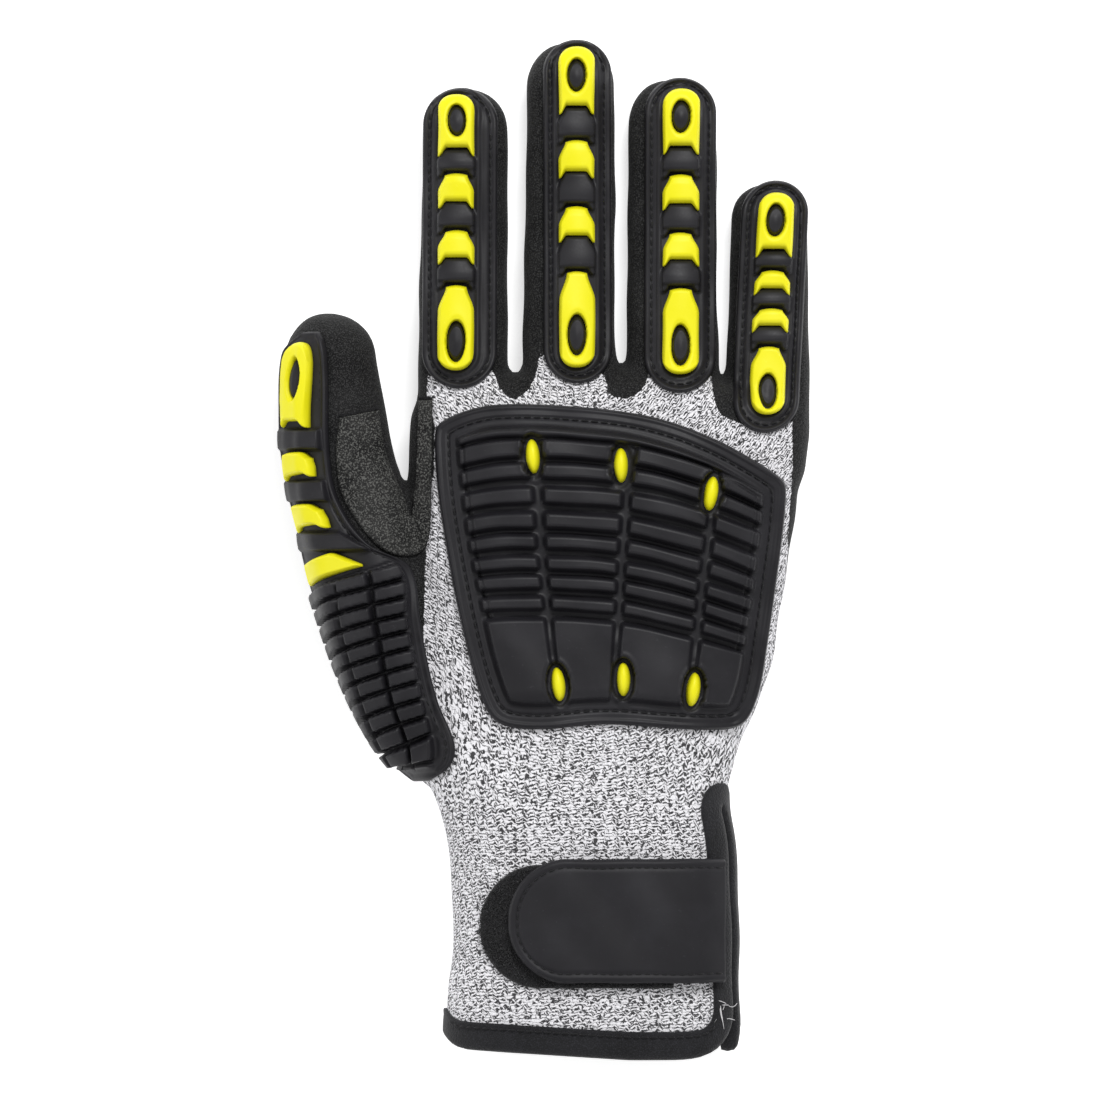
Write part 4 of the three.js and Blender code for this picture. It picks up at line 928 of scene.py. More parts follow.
@dataclass(frozen=True)
class SkinLook:
    """Knit that turns to a sandy coating where the mesh says so."""

    light: tuple = tint(246, 245, 249)
    dark: tuple = tint(12, 12, 15)
    coat: tuple = tint(7, 7, 8)
    speck: tuple = tint(76, 76, 76)

    def build(self, effects: Effects) -> bpy.types.Material:
        """Makes the material."""
        made = bpy.data.materials.new("Knit and coating")
        made.use_nodes = True
        g = Graph(made.node_tree)
        shader = made.node_tree.nodes["Principled BSDF"]
        knit = g.effect(effects.knit, around=g.kept("around"), along=g.kept("along"), slant=g.kept("slant"),
                        light=self.light, dark=self.dark, share=0.485)
        coat = g.effect(effects.grain, pitch=1750.0, base=self.coat, fleck=self.speck, flecks=0.52)
        ragged = g.math("MULTIPLY", g.math("SUBTRACT", g.noise(700.0, 3.0, 0.6), 0.5), 1.3)
        mask = g.rise(g.math("ADD", g.kept("coated"), ragged), -0.10, 0.10)
        g.feed(shader.inputs["Base Color"], g.blend(mask, knit.outputs["Color"], coat.outputs["Color"]))
        g.feed(shader.inputs["Roughness"], g.math("SUBTRACT", 0.95, g.math("MULTIPLY", mask, 0.12)))
        soft = g.math("MULTIPLY", knit.outputs["Height"], g.math("SUBTRACT", 1.0, mask))
        weave = g.bumped(soft, 0.7, WEAVE_DEPTH)
        sand = g.bumped(g.math("MULTIPLY", coat.outputs["Height"], mask), 0.9, SAND_DEPTH, weave)
        g.feed(shader.inputs["Normal"], sand)
        shader.inputs["Sheen Weight"].default_value = 0.05
        shader.inputs["Specular IOR Level"].default_value = 0.18
        return made


@dataclass
class Palette:
    """Every material, built once."""

    effects: Effects = None
    made: dict = field(default_factory=dict)

    def give(self, piece: bpy.types.Object, look) -> None:
        """Puts a look on a piece."""
        if self.effects is None:
            self.effects = Effects()
        if look not in self.made:
            self.made[look] = look.build(self.effects)
        piece.data.materials.clear()
        piece.data.materials.append(self.made[look])


PIXEL = 0.26  # mm that one pixel of the photo covers
ZERO_ACROSS = 542.0  # pixel column of the plan's x 0
ZERO_DOWN = 1062.0  # pixel row of the plan's y 0


def from_photo(points) -> Array:
    """Plan points in mm from points measured in pixels on a square view of 1100 pixels."""
    pts = np.asarray(points, float)
    return np.column_stack([(pts[:, 0] - ZERO_ACROSS) * PIXEL, (ZERO_DOWN - pts[:, 1]) * PIXEL])


# Where the knit shows on the back, clockwise from the thumb side of the knuckles, in pixels

KNIT_EDGE = from_photo([
    (428, 376), (427, 402), (430, 412), (435, 425), (434, 470), (430, 497), (428, 526), (426, 554),
    (425, 582), (424, 640), (420, 700), (380, 760), (380, 1110), (820, 1110), (820, 600), (787, 545),
    (790, 500), (792, 466), (792, 421), (770, 425), (745, 425), (729, 420), (722, 417), (716, 407),
    (713, 393), (711, 376), (690, 372), (650, 368), (645, 386), (638, 393), (628, 399), (615, 398), (608, 393),
    (605, 376), (590, 366), (552, 366), (541, 350), (538, 362), (535, 378), (530, 389), (523, 395),
    (516, 400), (506, 396), (500, 389), (497, 381), (491, 368), (460, 372),
])
DIP_TABLE = np.array([
    (0.27, -3.0), (0.33, 5.0), (0.41, 12.0), (0.48, 16.5), (0.60, 17.5), (0.64, 14.5),
    (0.66, 12.2), (1.02, 12.2),
])


@dataclass
class Skin:
    """Knit liner and dipped palm as one hollow cloth."""

    form: SoftForm
    palette: Palette
    slit_half: float = 0.9
    slit_top: float = 67.0
    hem_low: float = 1.9
    hem_slope: float = 0.062
    hem_turn: float = 23.0
    thumb_corner: float = 3.0
    slit_corner: float = 1.6
    slit_lap: float = 7.0
    middle: tuple = (12.2, 17.0)
    slit_way: tuple = (0.985, 0.174)
    slit_from: float = 4.0

    def hem(self, x: Array) -> Array:
        """Height of the hem line along x."""
        low = self.hem_low + self.hem_slope * np.maximum(0.0, self.hem_turn - x)
        low = low + self.thumb_corner * smooth(-21.0, -25.5, x) ** 2
        return low + self.slit_corner * smooth(40.0, 44.5, x) + self.slit_lap * smooth(45.5, 48.5, x)

    def slit(self, x: Array, y: Array, z: Array) -> Array:
        """Distance from the opening in the side of the cuff, below zero inside it."""
        dx, dz = x - self.middle[0], z - self.middle[1]
        out = dx * self.slit_way[0] + dz * self.slit_way[1]
        across = -dx * self.slit_way[1] + dz * self.slit_way[0]
        beside = np.maximum(np.abs(across) - self.slit_half, y - self.slit_top)
        return np.maximum(beside, self.slit_from - out)

    def build(self) -> bpy.types.Object:
        """Makes the cloth."""
        form = self.form
        axes = [form.low[i] + form.cell * np.arange(form.count[i]) for i in range(3)]
        x, y, z = np.meshgrid(*axes, indexing="ij")
        wall = np.abs(form.field + WALL / 2) - WALL / 2
        wall = np.maximum(wall, self.hem(x) - y)
        wall = np.maximum(wall, -self.slit(x, y, z))
        points, faces = surface_net(wall, form.low, form.cell)
        outer = form.level(points) > -WALL / 2
        for _ in range(2):
            level = form.level(points) - np.where(outer, 0.0, -WALL)
            edge = (points[:, 1] < self.hem(points[:, 0]) + 1.2) | (self.slit(*points.T) < 1.2)
            shift = np.where(edge, 0.0, np.clip(level, -0.6, 0.6))
            points = points - form.normal(points) * shift[:, None]
        points[:, 2] = np.maximum(points[:, 2], 0.0)
        piece = new_piece("glove_cloth", points, faces, "knit_shell", (
            "coated_palm", "thumb_coating", "index_knit", "index_coating", "middle_knit", "middle_coating",
            "ring_knit", "ring_coating", "little_knit", "little_coating",
        ))
        dip = np.interp(points[:, 1] / LENGTH, DIP_TABLE[:, 0], DIP_TABLE[:, 1]) - points[:, 2]
        coated = np.maximum(dip * 0.6, -inside_distance(points[:, :2], KNIT_EDGE))
        store(piece, "coated", np.where(outer, np.clip(coated, -4, 4), -4.0))
        middle = np.where(points[:, 1] < 150, 12.0, 5.0)
        side = points[:, 0] - middle
        store(piece, "around", side + np.tanh(side / 16.0) * np.clip(32.0 - points[:, 2], 0, 40) * 0.8)
        store(piece, "along", points[:, 1])
        slant = -0.55 * smooth(60.0, 110.0, points[:, 1]) * np.tanh((points[:, 0] - 20.0) / 26.0)
        store(piece, "slant", slant)
        self.palette.give(piece, SkinLook())
        return piece


# Finger guards

@dataclass(frozen=True)
class GuardSize:
    """Rubber guard of one finger in mm, with each insert from its upper to its lower end."""

    name: str
    top: float
    bottom: float
    top_x: float
    bottom_x: float
    half: float
    bead: float
    bead_shift: float
    inserts: tuple


GUARDS = (
    GuardSize("index", 253.2, 175.0, -21.1, -21.4, 9.5, 4.45, -0.9,
              ((251.2, 235.3), (230.9, 221.8), (216.1, 207.2), (201.8, 179.7))),
    GuardSize("middle", 265.7, 176.3, 9.0, 9.2, 8.7, 4.4, -0.2,
              ((263.6, 246.2), (239.5, 229.6), (222.3, 212.9), (205.4, 180.4))),
    GuardSize("ring", 255.8, 173.9, 35.9, 35.7, 9.1, 4.5, 0.1,
              ((252.7, 235.8), (230.6, 221.3), (215.5, 206.7), (201.0, 178.6))),
    GuardSize("little", 229.1, 163.5, 60.8, 57.7, 8.5, 4.4, 0.2,
              ((225.7, 209.0), (205.7, 199.2), (195.8, 189.5), (185.9, 168.2))),
)
INSERT_NAMES = ("tip", "outer", "inner", "knuckle")


@dataclass
class FingerGuard:
    """Stitched flange with black humps and coloured scales along a finger."""

    form: SoftForm
    palette: Palette
    size: GuardSize
    finger: FingerSize
    flange: float = 1.55
    seat: float = 1.5
    hump: float = 4.8
    crown: float = 5.4
    lean: float = 0.25
    pitch: float = 0.42
    hole: float = 2.35
    hole_ease: float = 0.35
    hole_deep: float = 3.0
    stitch_in: float = 1.9
    stitch_pitch: float = 2.3

    def axis(self, y) -> Array:
        """Middle of the guard at a station."""
        size = self.size
        share = (np.asarray(y, float) - size.bottom) / (size.top - size.bottom)
        return mix(size.bottom_x, size.top_x, share)

    def half(self, y: Array) -> Array:
        """Half width of the flange."""
        size = self.size
        from_top = np.clip((size.top - y) / size.half, 0.0, 1.0)
        from_bottom = np.clip((y - size.bottom) / size.half, 0.0, 1.0)
        return size.half * np.sqrt(np.clip(1 - (1 - np.minimum(from_top, from_bottom)) ** 2, 0.0, 1.0))

    def clamp(self, plan: Array) -> Array:
        """Plan points kept over the finger, so that the guard bridges its rounded sides."""
        size = self.finger
        y = np.minimum(plan[:, 1], size.tip - 2.2)
        share = (y - FINGER_ROOT) / (size.tip - FINGER_ROOT)
        radius = size.tip_wide / 2
        cap = np.clip((y - (size.tip - radius)) / radius, 0.0, 1.0)
        wide = mix(size.root_wide, size.tip_wide, share) / 2 * np.sqrt(1 - cap ** 2)
        limit = np.where(y < self.size.bottom + 10.0, 60.0, 0.86 * wide)
        middle = size.axis(y)
        return np.column_stack([np.clip(plan[:, 0], middle - limit, middle + limit), y])

    def edge_distance(self, x: Array, y: Array) -> Array:
        """Distance in from the edge of the flange."""
        size = self.size
        near = np.clip(y, size.bottom + size.half, size.top - size.half)
        return size.half - np.hypot(x, y - near)

    def scale_half(self, y: Array, high: float, low: float, narrow: float = 0.60) -> Array:
        """Half width of a scale that flares away from the fingertip."""
        share = (high - y) / (high - low)
        return self.size.bead * mix(narrow, 1.0, smooth(0.0, 0.55, share))

    def height(self, x: Array, y: Array) -> Array:
        """Height of the rubber over the cloth."""
        size = self.size
        edge = self.edge_distance(x, y)
        high = self.flange * np.sqrt(np.clip(edge / 0.7 + 0.12, 0.1, 1.0))
        high = high + 0.30 * bump(edge, 0.75, 0.30, 0.35)
        high = high - 0.42 * bump(edge, self.stitch_in, 0.22, 0.3)
        xb = x - size.bead_shift
        inner = size.bead + 0.75
        low_end = size.inserts[-1][1]
        high_end = size.inserts[0][0]
        near = np.clip(y, low_end + size.bead, high_end - size.bead)
        bead = np.hypot(xb, y - near)
        high = high + 0.35 * smooth(inner + 0.75, inner + 0.35, bead)
        high = high - 0.30 * bump(bead, inner + 1.25, 0.10, 0.22)
        trough = smooth(inner, inner - 0.35, bead)
        body = high * (1 - trough) + self.seat * trough
        for (_, above), (below, _) in zip(size.inserts[:-1], size.inserts[1:]):
            top, bottom = above + 1.9, below + 0.75
            half = self.scale_half(y, top, bottom) + 0.15
            notch = 1.6 * smooth(0.55, 0.9, np.abs(xb) / size.bead)
            across = np.clip(np.abs(xb) / (half + 0.3), 0, 1)
            dome = self.seat + (self.hump - self.seat) * (1 - 0.20 * across ** 2)
            share = smooth(bottom - notch - 0.35, bottom - notch + 0.25, y) * smooth(top + 0.3, top - 0.9, y)
            share = share * smooth(half + 0.30, half - 0.25, np.abs(xb))
            slope = 1 - 0.16 * smooth(bottom + 2.0, top, y)
            bevel = 1 - 0.22 * smooth(bottom + 0.9, bottom - 0.2, y)
            body = np.maximum(body, body + (dome * slope * bevel - body) * share)
        return body

    def plug(self, number: int, middle: float, long: float) -> None:
        """Makes the black oval inside a long insert, sunk at its rim."""
        a = np.linspace(-1.0, 1.0, 33)
        p, q = np.meshgrid(a, a, indexing="ij")
        across = p * np.sqrt(1 - q * q / 2)
        along = q * np.sqrt(1 - p * p / 2)
        y = middle + along * (long + self.hole_ease)
        x = across * (self.hole + 0.05) + self.size.bead_shift + self.axis(y)
        slab = lay(self.form, np.stack([x, y], axis=-1), 3, self.clamp, self.lean)
        far = np.clip(np.hypot(across, along), 0, 1)
        tall = 2.5 + 1.9 * smooth(0.93, 0.68, far) + 0.25 * smooth(0.7, 0.0, far)
        piece = slab.build(f"{self.size.name}_plug_{number}", tall + GAP, 1.9, Finish.GUARD)
        self.palette.give(piece, GUARD_LOOK)

    def ovals(self) -> list:
        """Middle and radius of the oval in each of the two long inserts."""
        tip, knuckle = self.size.inserts[0], self.size.inserts[-1]
        return [
            (mix(tip[0], tip[1], 0.42), min(3.9, (tip[0] - tip[1]) * 0.235)),
            (mix(knuckle[0], knuckle[1], 0.66), min(5.1, (knuckle[0] - knuckle[1]) * 0.245)),
        ]

    def build(self) -> None:
        """Makes the guard, its inserts and its stitches."""
        size = self.size
        rows = int((size.top - size.bottom) / self.pitch)
        ends = size.half * (1 - np.cos(np.linspace(0.06, math.pi / 2, 24)))
        body = np.linspace(size.bottom + size.half, size.top - size.half, rows - 46)
        y = np.concatenate([size.bottom + ends[:-1], body, (size.top - ends[:-1])[::-1]])
        u = np.linspace(-1.0, 1.0, 47)
        yy = np.repeat(y[:, None], len(u), axis=1)
        xx = u[None, :] * self.half(y)[:, None]
        plan = np.stack([xx + self.axis(yy), yy], axis=-1)
        slab = lay(self.form, plan, 8, self.clamp, self.lean)
        guard = slab.build(f"{size.name}_guard_rubber", self.height(xx, yy) + GAP, 0.15, Finish.GUARD,
                           f"{size.name}_guard")
        self.palette.give(guard, GUARD_LOOK)
        for kind, (from_y, to_y) in zip(INSERT_NAMES, size.inserts):
            self.insert(kind, from_y, to_y)
        for number, (middle, long) in enumerate(self.ovals(), 1):
            self.plug(number, middle, long)
        self.stitches()

    def insert(self, kind: str, high: float, low: float) -> None:
        """Makes one coloured scale."""
        size = self.size
        u = np.linspace(-1.0, 1.0, 45)
        v = np.linspace(0.0, 1.0, int((high - low) / 0.36) + 10)
        side = np.abs(u)
        narrow = {"tip": 0.0, "outer": 0.60, "inner": 0.60, "knuckle": 0.58}[kind]
        if kind == "tip":
            top = high - size.bead * (1 - np.sqrt(np.clip(1 - side ** 2.3, 0, 1))) * 0.95
        else:
            top = high - 0.5 * side ** 2
        if kind == "knuckle":
            bottom = low + size.bead * (1 - np.sqrt(np.clip(1 - side ** 2.3, 0, 1))) * 0.98
        else:
            leg = 2.3 if kind == "tip" else 1.8
            bottom = low + leg * smooth(0.92, 0.55, side)
        ease = v ** 1.15 if kind == "tip" else v
        yy = top[None, :] + (bottom - top)[None, :] * ease[:, None]
        if kind == "tip":
            half = np.full_like(yy, size.bead)
        else:
            flare = 0.45 * (high - low) if kind == "knuckle" else 0.0
            half = self.scale_half(yy, high, low + flare, narrow)
        xb = u[None, :] * half
        xx = xb + size.bead_shift
        plan = np.stack([xx + self.axis(yy), yy], axis=-1)
        slab = lay(self.form, plan, 8, self.clamp, self.lean)
        edge = np.minimum((1 - side)[None, :] * half, np.minimum(yy - bottom[None, :], top[None, :] - yy))
        round_off = np.sqrt(np.clip(edge / 0.75, 0.0, 1.0))
        dome = 1 - 0.13 * (xb / size.bead) ** 2
        tall = self.crown * dome
        if kind in ("outer", "inner"):
            tall = tall * (1 - 0.10 * smooth(0.35, 0.0, v)[:, None])
        lip = smooth(0.0, 1.7, yy - bottom[None, :])
        notch = (1 - lip) * smooth(0.95, 0.6, side)[None, :] * (0.0 if kind == "knuckle" else 0.8)
        tall = tall - notch
        if kind in ("tip", "knuckle"):
            middle, long = self.ovals()[0 if kind == "tip" else 1]
            q = np.hypot(xb / self.hole, (yy - middle) / (long + self.hole_ease))
            tall = tall - self.hole_deep * smooth(1.06, 0.97, q) - 0.35 * smooth(1.30, 1.06, q)
        base = self.seat + GAP
        top_face = base + (tall + GAP - base) * (0.45 + 0.55 * round_off)
        piece = slab.build(f"{size.name}_scale_{kind}", top_face, base - 0.5, Finish.INSERT,
                           f"{size.name}_insert_{kind}")
        self.palette.give(piece, INSERT_LOOK)

    def stitches(self) -> None:
        """Sews the flange down."""
        size = self.size
        reach = size.half - self.stitch_in
        turn = np.linspace(0.0, math.pi, 30)
        upper = np.column_stack([reach * np.cos(turn), size.top - size.half + reach * np.sin(turn)])
        lower = np.column_stack([-reach * np.cos(turn), size.bottom + size.half - reach * np.sin(turn)])
        path = resample(np.vstack([upper, lower]), self.stitch_pitch, closed=True)
        sew(self.form, self.palette, f"{size.name}_guard_seam", path + np.column_stack(
            [self.axis(path[:, 1]), np.zeros(len(path))]), self.flange - 0.22 + GAP, self.clamp)


def sew(form: SoftForm, palette: Palette, name: str, path: Array, high: float, clamp,
        radius: float = 0.21, fill: float = 0.74) -> bpy.types.Object:
    """Row of stitches over the skin along a plan path.

    Args:
        form: the soft form.
        palette: where the thread's look comes from.
        name: name of the seam.
        path: plan points, one for each stitch hole.
        high: height over the cloth that the thread lies at.
        clamp: function that moves plan points back onto the form.
        radius: of the thread.
        fill: share of the pitch that shows as thread.

    Returns:
        The seam.
    """
    spots = form.over(clamp(path))
    normal = form.normal(spots) * 0.5 + np.array([0.0, 0.0, 0.75])
    normal /= np.linalg.norm(normal, axis=1, keepdims=True)
    foot = np.column_stack([path, spots[:, 2]]) + normal * high
    threads = Threads()
    for a, b, out in zip(foot[:-1], foot[1:], normal[:-1]):
        margin = (1 - fill) / 2
        threads.stitch(mix(a, b, margin), mix(a, b, 1 - margin), out, radius, radius * 0.9)
    seam = threads.build(name, Finish.TAPE)
    palette.give(seam, THREAD_LOOK)
    return seam


# Plate on the back of the hand

PLATE_EDGES = {
    "top": ((-28.0, 166.0), (-11.0, 170.8), (22.0, 168.8), (44.0, 162.2), (63.6, 151.2)),
    "bottom": ((-14.0, 86.2), (1.0, 86.6), (16.0, 87.9), (34.0, 86.8), (53.0, 85.2)),
    "left": ((-28.0, 166.0), (-26.9, 148.6), (-23.6, 127.3), (-19.1, 106.3), (-14.0, 86.2)),
    "right": ((63.6, 151.2), (62.4, 138.0), (59.4, 116.0), (56.6, 98.0), (53.0, 85.2)),
}


@dataclass(frozen=True)
class Oval:
    """Coloured oval of the plate: place, lean in degrees and radii in mm."""

    x: float
    y: float
    lean: float
    short: float = 1.8
    long: float = 4.4

    def reach(self, x: Array, y: Array, margin: float = 0.0) -> Array:
        """1 on the oval grown by a margin, less inside it."""
        turn = math.radians(self.lean)
        dx, dy = x - self.x, y - self.y
        across = dx * math.cos(turn) + dy * math.sin(turn)
        along = dy * math.cos(turn) - dx * math.sin(turn)
        return np.hypot(across / (self.short + margin), along / (self.long + margin))


OVALS = (
    Oval(-2.3, 157.3, 5), Oval(20.5, 155.0, 2), Oval(43.7, 147.7, -8),
    Oval(4.2, 98.3, 6), Oval(21.1, 99.6, 0), Oval(39.0, 97.0, -9),
)


@dataclass
class BackPlate:
    """Ribbed plate with a stitched edge, six pockets and an oval in each."""

    form: SoftForm
    palette: Palette
    rows: int = 190
    columns: int = 185
    flange: float = 1.6
    floor: float = 1.45
    rim: float = 4.1
    rib: float = 5.1
    pad: float = 4.5
    stitch_in: float = 3.6
    # Middle of each rib down the plate and its half thickness, as shares
    ribs: tuple = ((0.172, 0.027), (0.240, 0.022), (0.311, 0.022), (0.378, 0.021),
                   (0.434, 0.018), (0.492, 0.018), (0.547, 0.018), (0.607, 0.018))
    gaps: tuple = (0.325, 0.525, 0.775)

    def plan(self, u: Array, v: Array) -> Array:
        """Plan point at shares across and down, blended from the four edges."""
        top = spline(PLATE_EDGES["top"], u)
        bottom = spline(PLATE_EDGES["bottom"], u)
        left = spline(PLATE_EDGES["left"], v)
        right = spline(PLATE_EDGES["right"], v)
        tl, tr = np.array(PLATE_EDGES["top"][0]), np.array(PLATE_EDGES["top"][-1])
        bl, br = np.array(PLATE_EDGES["bottom"][0]), np.array(PLATE_EDGES["bottom"][-1])
        u1, v1 = u[..., None], v[..., None]
        corners = mix(mix(tl, tr, u1), mix(bl, br, u1), v1)
        return mix(top, bottom, v1) + mix(left, right, u1) - corners

    def clamp(self, plan: Array) -> Array:
        """Plan points kept on the shoulder of the palm, which the plate bridges."""
        share = plan[:, 1] / LENGTH
        left = hermite(PALM_TABLE[:, 0], PALM_TABLE[:, 1], share) * WIDTH
        right = hermite(PALM_TABLE[:, 0], PALM_TABLE[:, 2], share) * WIDTH
        middle, half = (left + right) / 2, (right - left) / 2 * 0.9
        return np.column_stack([np.clip(plan[:, 0], middle - half, middle + half), plan[:, 1]])

    def height(self, u: Array, v: Array, plan: Array, edge: Array) -> Array:
        """Height of the rubber over the cloth."""
        high = self.flange * np.sqrt(np.clip(edge / 0.8 + 0.10, 0.1, 1.0))
        high = high + 0.35 * bump(edge, 0.9, 0.35, 0.4)
        high = high - 0.45 * bump(edge, self.stitch_in, 0.25, 0.35)
        inner = smooth(5.3, 7.3, edge)
        rib_zone = np.zeros_like(u)
        for middle, half in self.ribs:
            rib_zone = np.maximum(rib_zone, bump(v, middle, half - 0.006, 0.011))
        gap = np.zeros_like(u)
        for middle in self.gaps:
            gap = np.maximum(gap, bump(u, middle, 0.0075, 0.009))
        crown = self.rib - 0.5 * ((u - 0.5) * 2) ** 2
        body = self.floor + (crown - self.floor) * rib_zone
        rim = smooth(0.142, 0.130, v)
        pad = smooth(0.645, 0.660, v)
        body = mix(body, self.rim + 0.7 * smooth(0.075, 0.13, v), rim)
        body = mix(body, self.pad - 1.2 * smooth(0.86, 0.93, v), pad)
        cut = gap * (1 - rim) * (1 - 0.35 * smooth(0.66, 0.72, v))
        body = mix(body, np.minimum(body, self.floor), cut)
        side = bump(edge, 7.6, 0.15, 0.5) * (1 - rim) * (1 - pad)
        body = body - side * 0.8
        high = mix(high, body, inner)
        for oval in OVALS:
            reach = oval.reach(plan[..., 0], plan[..., 1], 1.2)
            high = high + 0.25 * bump(reach, 1.16, 0.06, 0.10) * smooth(1.0, 1.1, reach)
            high = mix(high, np.full_like(high, 1.15), smooth(1.05, 0.97, reach))
        return high

    def build(self) -> None:
        """Makes the plate, the ovals and the stitches."""
        s = np.linspace(-1.0, 1.0, self.columns)[None, :]
        t = np.linspace(-1.0, 1.0, self.rows)[:, None]
        s, t = np.broadcast_arrays(s, t)
        far = np.maximum(np.maximum(np.abs(s), np.abs(t)), 1e-6)
        corner = 13.0 - 7.0 * smooth(-0.2, 0.6, t)
        pull = (np.abs(s / far) ** corner + np.abs(t / far) ** corner) ** (-1.0 / corner)
        scale = 1 - (1 - pull) * far ** 6
        u, v = (s * scale + 1) / 2, (t * scale + 1) / 2
        plan = self.plan(u, v)
        outline = np.vstack([plan[0], plan[1:, -1], plan[-1, -2::-1], plan[-2:0:-1, 0]])[::4]
        edge = inside_distance(plan.reshape(-1, 2), outline).reshape(u.shape)
        edge = np.maximum(edge, 0.0)
        slab = lay(self.form, plan, 14, self.clamp)
        high = self.height(u, v, plan, edge) + GAP
        plate = slab.build("back_guard_rubber", high, 0.15, Finish.GUARD, "back_guard")
        self.palette.give(plate, GUARD_LOOK)
        for number, oval in enumerate(OVALS, 1):
            self.oval(number, oval)
        ring = np.vstack([outline, outline[:1]])
        middle = outline.mean(axis=0)
        step = np.gradient(ring, axis=0)
        step /= np.linalg.norm(step, axis=1, keepdims=True)
        inward = np.column_stack([-step[:, 1], step[:, 0]])
        sign = np.sign(((middle - ring) * inward).sum(axis=1, keepdims=True))
        path = ring + inward * sign * self.stitch_in
        path = resample(path[:-1], 2.5, closed=True)
        path = np.vstack([path, path[:1]])
        sew(self.form, self.palette, "back_guard_seam", path, self.flange - 0.25 + GAP, self.clamp)

    def oval(self, number: int, oval: Oval) -> None:
        """Makes one coloured oval."""
        a = np.linspace(-1.0, 1.0, 25)
        p, q = np.meshgrid(a, a, indexing="ij")
        across = p * np.sqrt(1 - q * q / 2) * oval.short
        along = q * np.sqrt(1 - p * p / 2) * oval.long
        turn = math.radians(oval.lean)
        x = oval.x + across * math.cos(turn) - along * math.sin(turn)
        y = oval.y + across * math.sin(turn) + along * math.cos(turn)
        slab = lay(self.form, np.stack([x, y], axis=-1), 2)
        far = np.clip(np.hypot(across / oval.short, along / oval.long), 0, 1)
        tall = 1.6 + 3.2 * np.sqrt(np.clip(1 - far ** 2.4, 0, 1))
        piece = slab.build(f"back_oval_{number}", tall + GAP, 1.2, Finish.INSERT, f"back_insert_{number}")
        self.palette.give(piece, INSERT_LOOK)


# Thumb guard

FAN_TABLE = np.array([
    # station, middle of the fan, angles from straight up that it reaches on the inner and outer side
    (73.4, -29.8, -6, 50), (76.0, -30.5, -22, 76), (82.0, -32.5, -32, 84), (94.4, -37.0, -34, 86),
    (115.2, -42.0, -36, 86), (129.0, -45.5, -40, 84), (134.0, -48.0, -14, 82), (146.6, -52.0, 4, 80),
    (156.8, -53.2, 8, 80), (183.0, -54.0, 10, 80), (187.5, -53.4, 20, 72), (189.6, -53.0, 34, 58),
])
THUMB_INSERTS = (
    # name, upper and lower end, angles on the inner and outer side
    ("tip", 186.7, 164.8, 30, 70), ("outer", 158.6, 151.6, 25, 72),
    ("inner", 145.3, 138.3, 19, 72), ("base", 132.4, 124.4, 2, 73),
)


